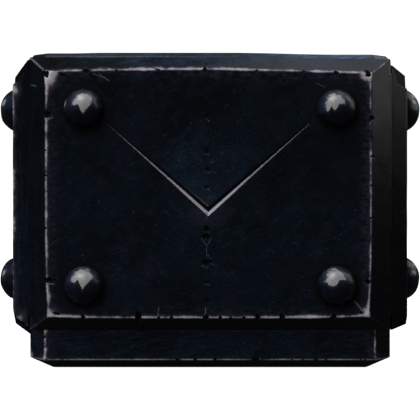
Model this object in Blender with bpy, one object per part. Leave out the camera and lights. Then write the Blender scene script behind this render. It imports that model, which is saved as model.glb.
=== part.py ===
"""Armoured gauntlet: a square iron forearm cuff with four bevelled plates held by domed rivets.

The cuff stands on its turned-in lower rim. +Z runs up the arm, and the chased plate faces -Y.
"""
import math
from typing import NamedTuple

import bmesh
import bpy
from mathutils import Vector

MM = 0.001
GAP = 0.3 * MM                      # clearance between pieces that meet

# Sleeve: a square tube of sheet iron with cut corners
SLEEVE_HALF = 65.4 * MM             # half the width across the flats
SLEEVE_CUT = 6.2 * MM               # corner cut, along each side
SLEEVE_SHEET = 2.4 * MM
SLEEVE_HEIGHT = 114.1 * MM
TOP_BEVEL_IN = 1.4 * MM             # the top edge is broken by a small bevel
TOP_BEVEL_DROP = 1.8 * MM
TOP_CUT = 5.6 * MM
LIP_IN = 8.1 * MM                   # the lower rim is turned in to a smaller mouth
LIP_RISE = 3.4 * MM
LIP_FOOT = 2.0 * MM                 # width of the flat that the cuff stands on
LIP_THICK = 2.2 * MM
LIP_CUT = 0.6 * MM

# Plates: shallow pans with four sloping walls, open behind
PLATE_SHEET = 3.0 * MM
PLATE_RIM = 4.0 * MM                # width of the sloping wall where it meets the sleeve

# Chased V on the front plate
GROOVE_HALF_SPAN = 36.0 * MM
GROOVE_END_Z = 88.8 * MM
GROOVE_POINT_Z = 57.3 * MM
GROOVE_POINT_WIDTH = 2.4 * MM
GROOVE_END_WIDTH = 0.45 * MM
GROOVE_DEPTH_SHARE = 0.35           # depth over width
GROOVE_CLEAR = 1.0 * MM             # how far its cutter stands out of the face

# Rivets: domed heads, shanks through plate and sleeve, tails peened inside
RIVET_X = 44.5 * MM
HEAD_HEIGHT = 6.5 * MM
SHANK_RADIUS = 2.6 * MM
TAIL_RADIUS = 4.4 * MM
TAIL_TIP_RADIUS = 3.5 * MM
TAIL_HEIGHT = 1.0 * MM
RIVET_SIDES = 16
HEAD_STEPS = 5
SMOOTH_ANGLE = math.radians(35)


class PlateForm(NamedTuple):
    """The outer form of a plate and the place of its rivets."""
    face_out: float                 # from the cuff's axis to the face
    face_half: float                # half the face's width
    face_z: tuple[float, float]     # foot and top of the face
    base_half: float                # the same for the base, where the walls meet the sleeve
    base_z: tuple[float, float]
    corner_cuts: tuple[float, float]  # off each corner, at the base and at the face
    set_over: float                 # how far the face sits off the middle
    rivet_z: tuple[float, float]
    head_radius: float


BROAD = PlateForm(
    face_out=72.0 * MM, face_half=57.6 * MM, face_z=(19.8 * MM, 107.1 * MM),
    base_half=64.5 * MM, base_z=(14.8 * MM, 112.3 * MM),
    corner_cuts=(0.3 * MM, 0.3 * MM), set_over=0.0, rivet_z=(31.3 * MM, 93.6 * MM), head_radius=7.05 * MM,
)
CHASED = BROAD._replace(set_over=-0.6 * MM)
CLIPPED = PlateForm(
    face_out=71.95 * MM, face_half=57.6 * MM, face_z=(15.5 * MM, 106.2 * MM),
    base_half=61.5 * MM, base_z=(13.3 * MM, 110.6 * MM),
    corner_cuts=(2.2 * MM, 4.8 * MM), set_over=0.0, rivet_z=(31.5 * MM, 94.5 * MM), head_radius=8.1 * MM,
)

# Each side's plate and its turn about the cuff's axis, in quarter turns from the front
PLATES = {
    "front": (CHASED, 0),
    "right": (CLIPPED, 1),
    "back": (BROAD, 2),
    "left": (CLIPPED, 3),
}


def clear_scene():
    for item in list(bpy.data.objects):
        bpy.data.objects.remove(item, do_unlink=True)


def iron(name, colour, roughness, metallic):
    """A Principled material of one colour."""
    material = bpy.data.materials.new(name)
    material.use_nodes = True
    shader = material.node_tree.nodes["Principled BSDF"]
    shader.inputs["Base Color"].default_value = (*colour, 1.0)
    shader.inputs["Roughness"].default_value = roughness
    shader.inputs["Metallic"].default_value = metallic
    return material


def mesh_of(name, bm, material=None):
    """The bmesh as a mesh, with its faces turned outwards."""
    bmesh.ops.recalc_face_normals(bm, faces=bm.faces)
    mesh = bpy.data.meshes.new(name)
    bm.to_mesh(mesh)
    bm.free()
    if material:
        mesh.materials.append(material)
    return mesh


def add_object(name, data, parent=None):
    item = bpy.data.objects.new(name, data)
    item.parent = parent
    bpy.context.scene.collection.objects.link(item)
    return item


def subtract(item, name, mesh, quarter_turns=0):
    """Cuts the mesh, turned about the cuff's axis, out of the item."""
    cutter = add_object(name, mesh)
    cutter.rotation_euler.z = math.radians(90 * quarter_turns)
    cutter.hide_render = True
    cutter.display_type = "WIRE"
    cut = item.modifiers.new(name, "BOOLEAN")
    cut.operation = "DIFFERENCE"
    cut.solver = "EXACT"
    cut.object = cutter


def clipped_outline(left, right, low, high, cut):
    """The eight corners, anticlockwise, of a rectangle whose corners are cut."""
    return [
        (left + cut, low), (right - cut, low), (right, low + cut), (right, high - cut),
        (right - cut, high), (left + cut, high), (left, high - cut), (left, low + cut),
    ]


def circle(radius):
    """The corners of a round section."""
    turns = [2 * math.pi * i / RIVET_SIDES for i in range(RIVET_SIDES)]
    return [(radius * math.cos(turn), radius * math.sin(turn)) for turn in turns]


def add_ring(bm, points):
    return [bm.verts.new(point) for point in points]


def bridge(bm, rings, closed=False):
    """Joins each ring to the next with quads: capped at both ends, or closed round on itself."""
    following = rings[1:] + rings[:1] if closed else rings[1:]
    for ring, after in zip(rings, following):
        for i in range(len(ring)):
            j = (i + 1) % len(ring)
            bm.faces.new((ring[i], ring[j], after[j], after[i]))
    if not closed:
        bm.faces.new(rings[0])
        bm.faces.new(rings[-1])


def rivet_places(form):
    """Each of a plate's rivets, seen from outside: its name, its place across and its height."""
    for level, z in zip(("lower", "upper"), form.rivet_z):
        for hand, x in (("left", -RIVET_X), ("right", RIVET_X)):
            yield f"{level}_{hand}", x, z


def rivet_holes(form, y_start, y_end):
    """Four bars along Y where the plate's shanks go."""
    bm = bmesh.new()
    for _, x, z in rivet_places(form):
        section = circle(SHANK_RADIUS + GAP)
        ends = [[(x + across, y, z + up) for across, up in section] for y in (y_start, y_end)]
        bridge(bm, [add_ring(bm, end) for end in ends])
    return mesh_of("rivet_holes", bm)


def make_sleeve(material):
    """The square tube: outer wall upwards, over the top edge, inner wall down to the mouth."""
    inside = SLEEVE_HALF - SLEEVE_SHEET
    turn_in = SLEEVE_HALF - LIP_IN
    mouth = turn_in - LIP_FOOT
    sections = [
        (turn_in, LIP_CUT, 0.0),
        (SLEEVE_HALF, SLEEVE_CUT, LIP_RISE),
        (SLEEVE_HALF, SLEEVE_CUT, SLEEVE_HEIGHT - TOP_BEVEL_DROP),
        (SLEEVE_HALF - TOP_BEVEL_IN, TOP_CUT, SLEEVE_HEIGHT),
        (inside, TOP_CUT, SLEEVE_HEIGHT),
        (inside, TOP_CUT, LIP_RISE + LIP_THICK),
        (mouth, LIP_CUT, LIP_THICK),
        (mouth, LIP_CUT, 0.0),
    ]
    bm = bmesh.new()
    rings = []
    for half, cut, z in sections:
        outline = clipped_outline(-half, half, -half, half, cut)
        rings.append(add_ring(bm, [(x, y, z) for x, y in outline]))
    bridge(bm, rings, closed=True)
    sleeve = add_object("sleeve", mesh_of("sleeve", bm, material))
    for side, (form, quarter_turns) in PLATES.items():
        holes = rivet_holes(form, -form.face_out, -0.5 * form.face_out)
        subtract(sleeve, f"sleeve_holes_{side}", holes, quarter_turns)


def plate_mesh(form, material):
    """A pan with its face towards -Y: sloping walls, and a hollow one sheet behind the face."""
    base_y = -(SLEEVE_HALF + GAP)
    face_y = -form.face_out
    floor_y = face_y + PLATE_SHEET
    floor_share = (floor_y - base_y) / (face_y - base_y)

    def ring_at(share, inset, y):
        """The outline at a share of the way from base to face, drawn in by inset."""
        half = form.base_half + (form.face_half - form.base_half) * share - inset
        middle = form.set_over * share
        low = form.base_z[0] + (form.face_z[0] - form.base_z[0]) * share + inset
        high = form.base_z[1] + (form.face_z[1] - form.base_z[1]) * share - inset
        base_cut, face_cut = form.corner_cuts
        cut = base_cut + (face_cut - base_cut) * share
        outline = clipped_outline(middle - half, middle + half, low, high, cut)
        return add_ring(bm, [(x, y, z) for x, z in outline])

    bm = bmesh.new()
    rings = [
        ring_at(1.0, 0.0, face_y),
        ring_at(0.0, 0.0, base_y),
        ring_at(0.0, PLATE_RIM, base_y),
        ring_at(floor_share, PLATE_RIM, floor_y),
    ]
    bridge(bm, rings)
    return mesh_of("plate", bm, material)


def groove_mesh(form):
    """The V's cutter: a three-sided bar that tapers from the point to both ends."""
    leg = Vector((GROOVE_HALF_SPAN, GROOVE_END_Z - GROOVE_POINT_Z)).normalized()
    stations = [
        (-GROOVE_HALF_SPAN, GROOVE_END_Z, Vector((leg.y, leg.x)), GROOVE_END_WIDTH),
        (0.0, GROOVE_POINT_Z, Vector((0.0, 1.0 / leg.x)), GROOVE_POINT_WIDTH),
        (GROOVE_HALF_SPAN, GROOVE_END_Z, Vector((-leg.y, leg.x)), GROOVE_END_WIDTH),
    ]
    bm = bmesh.new()
    rings = []
    for offset, z, across, width in stations:
        x = form.set_over + offset
        depth = width * GROOVE_DEPTH_SHARE
        spread = across * (0.5 * width * (depth + GROOVE_CLEAR) / depth)
        clear_y = -form.face_out - GROOVE_CLEAR
        rings.append(add_ring(bm, [
            (x + spread.x, clear_y, z + spread.y),
            (x - spread.x, clear_y, z - spread.y),
            (x, depth - form.face_out, z),
        ]))
    bridge(bm, rings)
    return mesh_of("groove", bm)


def make_plate(side, form, quarter_turns, material):
    """One plate with its four rivet holes, turned to its side of the cuff."""
    plate = add_object(f"plate_{side}", plate_mesh(form, material))
    plate.rotation_euler.z = math.radians(90 * quarter_turns)
    holes = rivet_holes(form, -form.face_out - SHANK_RADIUS, -SLEEVE_HALF)
    subtract(plate, f"plate_{side}_holes", holes, quarter_turns)
    if form is CHASED:
        subtract(plate, "plate_groove", groove_mesh(form), quarter_turns)


def rivet_mesh(form, material):
    """A rivet turned about Z: the head stands on the face at zero, and the shank runs down."""
    inside = form.face_out - SLEEVE_HALF + SLEEVE_SHEET + GAP
    profile = []
    for step in range(1, HEAD_STEPS + 1):
        angle = 0.5 * math.pi * step / HEAD_STEPS
        profile.append((form.head_radius * math.sin(angle), GAP + HEAD_HEIGHT * math.cos(angle)))
    profile += [
        (SHANK_RADIUS, GAP),
        (SHANK_RADIUS, -inside),
        (TAIL_RADIUS, -inside),
        (TAIL_TIP_RADIUS, -inside - TAIL_HEIGHT),
    ]
    bm = bmesh.new()
    bridge(bm, [add_ring(bm, [(x, y, z) for x, y in circle(radius)]) for radius, z in profile])
    crown = min(bm.faces, key=lambda face: -face.calc_center_median().z)
    top = bmesh.ops.poke(bm, faces=[crown])["verts"][0]
    top.co.z = GAP + HEAD_HEIGHT
    mesh = mesh_of("rivet", bm, material)
    mesh.shade_smooth()
    mesh.set_sharp_from_angle(angle=SMOOTH_ANGLE)
    return mesh


def make_rivets(side, form, quarter_turns, material):
    """The four rivets of one plate, each its own object on a shared mesh."""
    holder = add_object(f"rivets_{side}", None)
    holder.rotation_euler.z = math.radians(90 * quarter_turns)
    mesh = rivet_mesh(form, material)
    for place, x, z in rivet_places(form):
        rivet = add_object(f"rivet_{side}_{place}", mesh, holder)
        rivet.location = (x, -form.face_out, z)
        rivet.rotation_euler.x = math.radians(90)


def main():
    clear_scene()
    make_sleeve(iron("sleeve_iron", (0.012, 0.015, 0.024), 0.48, 0.8))
    plate_iron = iron("plate_iron", (0.010, 0.013, 0.021), 0.45, 0.8)
    rivet_iron = iron("rivet_iron", (0.030, 0.033, 0.042), 0.30, 0.9)
    for side, (form, quarter_turns) in PLATES.items():
        make_plate(side, form, quarter_turns, plate_iron)
        make_rivets(side, form, quarter_turns, rivet_iron)


main()
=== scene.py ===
"""Looks of the armoured gauntlet: blackened iron with worn edges, chips, a chased V and polished rivets.

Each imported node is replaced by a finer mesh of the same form. A plate's own axes are u across, v up
and h outwards from the cuff's axis, and its turn counts quarter turns from the front.
"""
import math
import random
from typing import NamedTuple

import bpy
import numpy as np
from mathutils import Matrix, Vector, noise
from mathutils.geometry import delaunay_2d_cdt


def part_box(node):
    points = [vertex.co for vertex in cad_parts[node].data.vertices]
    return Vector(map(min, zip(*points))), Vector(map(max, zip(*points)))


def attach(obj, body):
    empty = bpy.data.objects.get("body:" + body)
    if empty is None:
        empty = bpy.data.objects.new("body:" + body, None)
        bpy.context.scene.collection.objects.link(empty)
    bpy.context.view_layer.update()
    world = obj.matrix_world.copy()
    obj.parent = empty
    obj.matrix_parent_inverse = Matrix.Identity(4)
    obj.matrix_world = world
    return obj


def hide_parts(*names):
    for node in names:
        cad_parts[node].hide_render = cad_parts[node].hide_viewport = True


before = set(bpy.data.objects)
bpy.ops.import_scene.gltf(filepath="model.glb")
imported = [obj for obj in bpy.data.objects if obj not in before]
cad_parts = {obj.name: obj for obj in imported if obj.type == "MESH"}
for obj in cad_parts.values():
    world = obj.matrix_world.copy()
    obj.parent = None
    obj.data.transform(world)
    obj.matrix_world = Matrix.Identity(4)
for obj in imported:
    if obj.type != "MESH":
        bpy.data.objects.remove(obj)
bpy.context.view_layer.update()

MM = 0.001
GAP = 0.3 * MM

# ---------------------------------------------------------------- forms


class PlateForm(NamedTuple):
    """How far each wall runs in from the base to the face, and what is cut off the corners at both."""
    side_run: float
    foot_run: float
    top_run: float
    base_cut: float
    face_cut: float
    set_over: float


BROAD = PlateForm(6.9 * MM, 5.0 * MM, 5.2 * MM, 0.3 * MM, 0.3 * MM, 0.0)
CHASED = BROAD._replace(set_over=-0.6 * MM)
CLIPPED = PlateForm(3.9 * MM, 2.2 * MM, 4.4 * MM, 2.2 * MM, 4.8 * MM, 0.0)
# Each plate's form, and its quarter turns from the front
PLATES = {"front": (CHASED, 0), "right": (CLIPPED, 1), "back": (BROAD, 2), "left": (CLIPPED, 3)}
UPRIGHTS, LEVELS = ("left", "right"), ("foot", "top")

PLATE_SHEET = 3.0 * MM
PLATE_RIM = 4.0 * MM
SKIRT = 0.55 * MM                   # how far a broad plate's side walls run on past its base
SKIRT_ENDS = (1.0 * MM, 5.5 * MM)   # where the skirt starts and is full, from the plate's foot and top
EDGE_BLEND = 0.35 * MM              # how softly the face turns into the walls
EDGE_WANDER = 0.10 * MM             # how far the walls stray from their planes
HAMMERING = 0.10 * MM               # the face's unevenness
UNMARKED, UNRUBBED = -3.0, -4.0     # the levels of a place without pits or marks, and without wear
HALO_SHADE, HALO_SHADE_ENDS = 0.85, (1.45, 0.98)        # painted shade round each rivet, and where it ends, in head radii

# The side plates' uneven walls: how far the foot edge drops at its near corner, and how far the top
# wall rises at the base and at the face
FOOT_DROPS = {"left": 0.9 * MM, "right": -0.6 * MM}
TOP_RISES = {"left": (1.5 * MM, 0.0), "right": (-0.6 * MM, 0.6 * MM)}

# Grid of a plate: fine by the edges and the pits, thinned out between, with more rows beside each edge
# and mitre, in mm from it
GRID_FINE = 0.45 * MM
GRID_BORDER = 4.6 * MM
EDGE_ROWS = (-1.3, -0.7, -0.35, -0.12, 0.12, 0.35, 0.7, 1.3)
MITRE_ROWS = (-0.7, -0.4, -0.15, 0.0, 0.15, 0.4, 0.7)
CLIP_GRID = 0.21 * MM               # over a clipped plate's corners
OUTLINE_CLEAR = 0.25 * MM           # the least height over the base of a point within the outline

# Sleeve
SLEEVE_CUT = 6.2 * MM
SLEEVE_SHEET = 2.4 * MM
TOP_BEVEL_IN = 1.4 * MM
TOP_BEVEL_DROP = 1.8 * MM
TOP_CUT = 5.6 * MM
LIP_IN = 8.1 * MM
LIP_RISE = 4.05 * MM
LIP_FOOT = 2.0 * MM
LIP_THICK = 2.2 * MM
LIP_CUT = 0.6 * MM
NICKS_TOP = 125 * MM                # nicks are drawn up to here, and those over the rim are lost
CORNER_BLEND = 0.3 * MM
BEND_REACH = 0.45 * MM              # how far from each bend the profile's rounding starts
RIM_SAG = 0.65 * MM                 # how far the top rim dips towards the front's right end
PLATE_FOOT = 14.3 * MM              # just under the broad plates, where they chafe the sleeve
FLAT_TONE = 1.35                    # how light its flat sides are
OUTER_FACE, INNER_FACE = 1, 4       # the bends at the start of the runs up the outside and down the inside
SHOWN_FOOT, SHOWN_TOP = 12.5 * MM, 5 * MM           # how much of the outside shows at the two ends
OUTER_SPACINGS = (0.5 * MM, 3 * MM, 0.7 * MM)       # of its rows at the foot, behind the plates, at the top
INNER_SPACING, ROW_SPACING = 3.5 * MM, 0.8 * MM     # down the inside, and elsewhere

# Chased V
GROOVE_HALF_SPAN = 36.0 * MM
GROOVE_END_Z = 88.8 * MM
GROOVE_POINT_Z = 57.3 * MM
GROOVE_POINT_WIDTH = 2.5 * MM
GROOVE_END_WIDTH = 0.60 * MM
GROOVE_DEPTH_SHARE = 0.35
GROOVE_ROWS = (-2.2, -1.5, -1.15, -0.95, -0.6, -0.2, 0.0, 0.2, 0.6, 0.95, 1.15, 1.5, 2.2)

# Rivets
SHANK_RADIUS = 2.6 * MM
HOLE_RADIUS = SHANK_RADIUS + GAP
HOLE_SIDES = 32
RIVET_SIDES = 60
DOME_RINGS = 18
TAIL_RADIUS = 4.4 * MM
TAIL_TIP_RADIUS = 3.5 * MM
TAIL_HEIGHT = 1.0 * MM
DOME_FACETS = 12
FACETING = 0.85                     # how flat the facets are by a dome's rim
RIVET_WANDER = 0.20 * MM            # of a dome's hammered surface
RIVET_SEED = 900
RIVET_SHIFT = 0.03                  # between one rivet's noise and the next's


# ---------------------------------------------------------------- numbers


def ripple(places, wavelength, seed):
    """Smooth noise at each place, about -0.6 to 0.6."""
    shift = Vector((seed * 7.31, seed * 3.77, seed * 5.93))
    return np.array([noise.noise(Vector(place) / wavelength + shift) for place in places])


def soft_min(a, b, blend):
    """The lower of two heights, with the corner between them rounded."""
    share = np.clip(0.5 + 0.5 * (b - a) / blend, 0.0, 1.0)
    return b + (a - b) * share - blend * share * (1.0 - share)


def smooth_step(value, low, high):
    """The share of the way from low to high, eased at both ends."""
    share = np.clip((value - low) / (high - low), 0.0, 1.0)
    return share * share * (3.0 - 2.0 * share)


def stations(breaks, spacing):
    """Places along a line that hit every break, with no gap over the spacing."""
    places = [breaks[0]]
    for start, end in zip(breaks, breaks[1:]):
        steps = max(1, math.ceil((end - start) / spacing - 0.01))
        places += [start + (end - start) * step / steps for step in range(1, steps + 1)]
    return places


def to_segment(places, start, end):
    """Distance from each place to a straight segment."""
    start, end = np.array(start), np.array(end)
    along = end - start
    share = np.clip((places - start) @ along / (along @ along), 0.0, 1.0)
    return np.linalg.norm(places - (start + share[:, None] * along), axis=1)


def clipped_outline(left, right, low, high, cut):
    """The eight corners, anticlockwise, of a rectangle whose corners are cut."""
    return [
        (left + cut, low), (right - cut, low), (right, low + cut), (right, high - cut),
        (right - cut, high), (left + cut, high), (left, high - cut), (left, low + cut),
    ]


def sampled(corners, spacing):
    """The closed outline through the corners with a point at least every spacing."""
    points = []
    for start, end in zip(corners, corners[1:] + corners[:1]):
        steps = max(1, math.ceil(math.dist(start, end) / spacing))
        for step in range(steps):
            share = step / steps
            points.append((start[0] + (end[0] - start[0]) * share, start[1] + (end[1] - start[1]) * share))
    return points


def circle(centre, radius, sides):
    """Points round a circle, anticlockwise."""
    turns = [2 * math.pi * i / sides for i in range(sides)]
    return [(centre[0] + radius * math.cos(t), centre[1] + radius * math.sin(t)) for t in turns]


def corners_of(left, right, low, high):
    """A rectangle's corners by name."""
    return {
        f"{level}_{side}": (u, v)
        for level, v in zip(LEVELS, (low, high)) for side, u in zip(UPRIGHTS, (left, right))
    }


def to_world(u, v, h, turns):
    """Plate axes to the object's own."""
    x, y = np.asarray(u, float), -np.asarray(h, float)
    for _ in range(turns):
        x, y = -y, x
    return np.column_stack((x, y, v))


def clipped_foot(side, across, up):
    """A clipped plate's foot corner, cut off: its height from the face, by the way in from it."""
    if side == "left":
        return np.minimum(0.32 * across + 0.33 * up - 1.75 * MM, 0.72 * across + 1.03 * up - 3.58 * MM)
    return 0.92 * across + 0.76 * up - 2.46 * MM


def dented_top(side, across, up):
    """A clipped plate's top corner, beaten in: a steep facet that stands on a narrow ledge."""
    facet = 0.65 * across + 0.20 * up - 3.01 * MM
    ledge = 2.07 * (up + 0.21 * across - (3.0 if side == "left" else 4.9) * MM)
    return np.maximum(facet, ledge)


def plate_box(node, turns):
    """A node's lowest and highest corner as (u, v, h)."""
    corners = []
    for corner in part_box(node):
        x, y = corner.x, corner.y
        for _ in range(turns):
            x, y = y, -x
        corners.append((x, corner.z, -y))
    return np.min(corners, axis=0), np.max(corners, axis=0)


def triangulate(loops, points=()):
    """Triangles over closed loops and the points between them, with each point's number."""
    places = [Vector(point) for loop in loops for point in loop] + [Vector(point) for point in points]
    edges = []
    start = 0
    for loop in loops:
        edges += [(start + i, start + (i + 1) % len(loop)) for i in range(len(loop))]
        start += len(loop)
    made, _, faces, sources, _, _ = delaunay_2d_cdt(places, edges, [], 0, 1e-8)
    numbers = [source[0] if source else -1 for source in sources]
    return np.array([place[:] for place in made]), faces, numbers


def mesh_object(name, places, faces, fields, material, sharp=35):
    """An object of these faces, with each field as a point attribute."""
    mesh = bpy.data.meshes.new(name)
    mesh.from_pydata([tuple(place) for place in places], [], faces)
    mesh.validate()
    for field, values in fields.items():
        values = np.asarray(values, np.float32)
        vector = values.ndim == 2
        made = mesh.attributes.new(field, "FLOAT_VECTOR" if vector else "FLOAT", "POINT")
        made.data.foreach_set("vector" if vector else "value", values.ravel())
    mesh.shade_smooth()
    mesh.set_sharp_from_angle(angle=math.radians(sharp))
    mesh.materials.append(material)
    item = bpy.data.objects.new(name, mesh)
    bpy.context.scene.collection.objects.link(item)
    return item


# ---------------------------------------------------------------- damage


class Bow(NamedTuple):
    """How far an edge of the front's face is beaten in, in mm: midway, and more towards its two ends."""
    midway: float
    first_end: float
    last_end: float
    first_power: float
    last_power: float


BOWS = {
    "top": Bow(-0.20, 0.80, 1.45, 1.8, 1.2), "foot": Bow(0.0, 0.6, 0.8, 5.0, 5.0),
    "left": Bow(0.1, 1.05, 0.2, 2.8, 4.0), "right": Bow(0.0, 1.2, 0.3, 3.2, 4.0),
}
BOW_REACH = 8.0 * MM


class Pit(NamedTuple):
    """A chip or nick: where, its half sizes, how far it is turned in degrees, and its depth."""
    u: float
    v: float
    half_width: float
    half_height: float
    turn: float
    depth: float


class Chip(NamedTuple):
    """A chip in a face's edge: how far along from the middle, its width and its reach inwards, in mm."""
    along: float
    width: float
    reach: float


FRONT_CHIPS = {
    "top": (
        Chip(-43.6, 3.0, 1.0), Chip(-32.9, 1.4, 0.7), Chip(-18.6, 2.4, 0.4), Chip(-1.8, 1.9, 1.2),
        Chip(16.4, 1.4, 0.5), Chip(33.0, 1.3, 0.5), Chip(44.4, 2.1, 1.0),
    ),
    "left": (Chip(6.5, 1.0, 0.8), Chip(-12.0, 0.9, 0.9), Chip(15.5, 0.8, 0.7), Chip(-20.5, 0.7, 0.6)),
    "right": (Chip(13.2, 0.9, 0.8), Chip(-8.4, 1.0, 0.9), Chip(-21.0, 0.9, 0.6), Chip(3.0, 0.7, 0.7)),
    "foot": (
        Chip(-44.7, 1.8, 1.3), Chip(-25.2, 3.2, 2.6), Chip(-18.0, 1.2, 0.9), Chip(-13.4, 1.4, 1.2),
        Chip(-1.3, 2.4, 1.3), Chip(3.6, 1.3, 0.9), Chip(7.2, 1.2, 0.8), Chip(12.1, 1.6, 0.8),
        Chip(16.9, 2.2, 1.3), Chip(25.4, 2.2, 1.4), Chip(43.6, 2.3, 1.5),
    ),
}

# Pits by the front face's corners and down its crease, in mm
CREASE_U = -1.2
FRONT_PITS = (
    Pit(-58.1, 106.3, 1.3, 1.5, 30, 0.6), Pit(55.9, 106.9, 1.5, 1.1, -35, 0.6),
    Pit(-51.6, 105.6, 1.9, 0.55, -29, 0.5), Pit(-54.7, 21.0, 1.6, 0.6, -14, 0.5),
    Pit(53.9, 21.3, 1.2, 0.55, -45, 0.5), Pit(-57.6, 91.6, 1.7, 1.4, 0, 0.8),
    Pit(-57.3, 33.1, 1.7, 1.2, 0, 0.8), Pit(-55.3, 33.1, 2.1, 0.35, 0, 0.3),
    Pit(56.9, 90.2, 0.9, 1.1, 0, 0.6), Pit(55.7, 32.6, 1.9, 0.9, 0, 0.7),
    Pit(CREASE_U, 91.0, 0.9, 1.4, 35, 0.4), Pit(CREASE_U + 0.2, 78.6, 0.9, 1.1, 10, 0.4),
    Pit(CREASE_U + 0.3, 72.2, 0.9, 1.1, -20, 0.4), Pit(CREASE_U, 66.0, 1.0, 0.7, 0, 0.4),
    Pit(CREASE_U, 51.2, 1.35, 1.25, 0, 0.6), Pit(CREASE_U, 48.4, 1.75, 1.15, 0, 0.7),
    Pit(CREASE_U + 0.1, 39.4, 1.75, 1.3, 0, 0.6), Pit(CREASE_U, 32.6, 1.4, 0.7, 0, 0.4),
    Pit(CREASE_U, 26.0, 1.6, 0.9, 0, 0.5),
)


class Stroke(NamedTuple):
    """A light scratch from one point to another, in mm."""
    start: tuple[float, float]
    end: tuple[float, float]
    width: float
    strength: float


FRONT_STROKES = (
    Stroke((-2.9, 47.9), (CREASE_U, 45.2), 0.55, 0.45), Stroke((0.5, 47.8), (CREASE_U, 45.2), 0.55, 0.45),
    Stroke((CREASE_U, 45.2), (CREASE_U, 42.0), 0.50, 0.40),
    Stroke((-41.2, 106.0), (-37.6, 104.6), 0.40, 0.55), Stroke((-39.2, 106.1), (-35.6, 103.4), 0.40, 0.60),
    Stroke((37.5, 102.8), (40.4, 101.2), 0.40, 0.55), Stroke((-64.0, 102.6), (-61.8, 101.9), 0.60, 0.60),
    Stroke((CREASE_U - 0.3, 89.9), (CREASE_U + 1.2, 89.0), 0.45, 0.48),
    Stroke((CREASE_U + 0.2, 65.4), (CREASE_U + 1.0, 65.0), 0.45, 0.50),
    Stroke((CREASE_U - 0.8, 77.6), (CREASE_U + 0.9, 77.1), 0.45, 0.42),
    Stroke((CREASE_U - 0.6, 71.2), (CREASE_U + 0.9, 70.9), 0.45, 0.42),
    Stroke((CREASE_U - 1.0, 50.1), (CREASE_U + 1.1, 50.0), 0.40, 0.38),
    Stroke((CREASE_U - 1.7, 38.2), (CREASE_U + 0.4, 37.6), 0.45, 0.45),
    Stroke((CREASE_U + 1.6, 39.0), (CREASE_U + 3.0, 38.4), 0.45, 0.45),
    Stroke((CREASE_U - 0.7, 31.7), (CREASE_U + 0.9, 31.6), 0.42, 0.42),
    Stroke((CREASE_U, 57.0), (CREASE_U, 54.3), 0.55, 0.70), Stroke((-0.7, 41.8), (-0.6, 41.4), 0.60, 0.60),
    Stroke((51.1, 25.6), (55.2, 21.0), 0.50, 1.10),
    Stroke((54.3, 32.5), (57.0, 34.0), 0.45, 0.90), Stroke((54.3, 32.5), (57.0, 31.0), 0.45, 0.90),
    Stroke((-57.6, 89.6), (-55.4, 90.4), 0.50, 0.80), Stroke((-57.8, 31.6), (-55.2, 31.9), 0.45, 0.80),
    Stroke((-18.4, 20.4), (-18.0, 23.4), 0.45, 0.60), Stroke((56.2, 88.0), (57.0, 89.4), 0.45, 0.80),
    Stroke((CREASE_U - 0.5, 20.6), (CREASE_U - 0.4, 23.6), 0.50, 0.70),
)

# Faint lines along the beaten-in corners of the side plates, nearest the front
STROKES = {
    "front": FRONT_STROKES,
    "left": (
        Stroke((59.3, 109.3), (58.5, 103.0), 0.60, 0.42), Stroke((58.5, 103.0), (58.4, 100.5), 0.60, 0.40),
        Stroke((61.2, 16.0), (57.8, 15.2), 0.50, 0.75), Stroke((57.8, 15.2), (54.4, 15.4), 0.50, 0.75),
    ),
    "right": (
        Stroke((-59.3, 109.3), (-58.3, 102.9), 0.45, 0.42),
        Stroke((-52.9, 106.8), (-53.6, 102.0), 0.45, 0.50),
        Stroke((-61.2, 15.4), (-53.5, 15.6), 0.40, 0.30),
    ),
}

# Dark smears and saw marks, in the same form
SMEARS = {
    "front": (
        Stroke((-54.4, 108.9), (-51.4, 110.1), 1.40, 0.5), Stroke((-62.9, 109.6), (-62.6, 106.4), 2.4, 0.6),
        Stroke((-57.0, 91.9), (-52.8, 91.6), 0.70, 0.8), Stroke((-63.6, 33.0), (-52.9, 33.1), 0.30, 0.8),
        Stroke((-45.4, 107.6), (-43.9, 109.6), 0.45, 0.9), Stroke((-21.5, 108.4), (-18.6, 107.4), 0.45, 0.9),
        Stroke((-1.9, 108.9), (-1.6, 107.4), 0.45, 0.8), Stroke((51.9, 105.2), (51.9, 101.0), 0.42, 0.8),
        Stroke((-54.0, 100.6), (-52.6, 100.0), 1.0, 0.7), Stroke((-14.4, 23.4), (-13.2, 20.4), 0.35, 0.9),
        Stroke((17.4, 19.8), (15.9, 22.6), 0.40, 0.9), Stroke((26.4, 19.8), (24.8, 22.4), 0.40, 0.9),
        Stroke((CREASE_U - 1.9, 72.0), (CREASE_U - 0.9, 75.6), 0.40, 0.6),
        Stroke((CREASE_U - 7.0, 73.4), (CREASE_U - 6.0, 71.8), 0.40, 0.7),
        Stroke((49.6, 26.9), (47.2, 25.6), 0.35, 0.6),
    ),
}


class Patch(NamedTuple):
    """A rubbed patch: where, its half sizes in mm and its strength."""
    u: float
    v: float
    half_width: float
    half_height: float
    strength: float


PATCHES = {"left": (Patch(58.0, 101.0, 1.6, 2.8, 0.75), Patch(59.4, 18.4, 2.0, 4.0, 0.60))}


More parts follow.
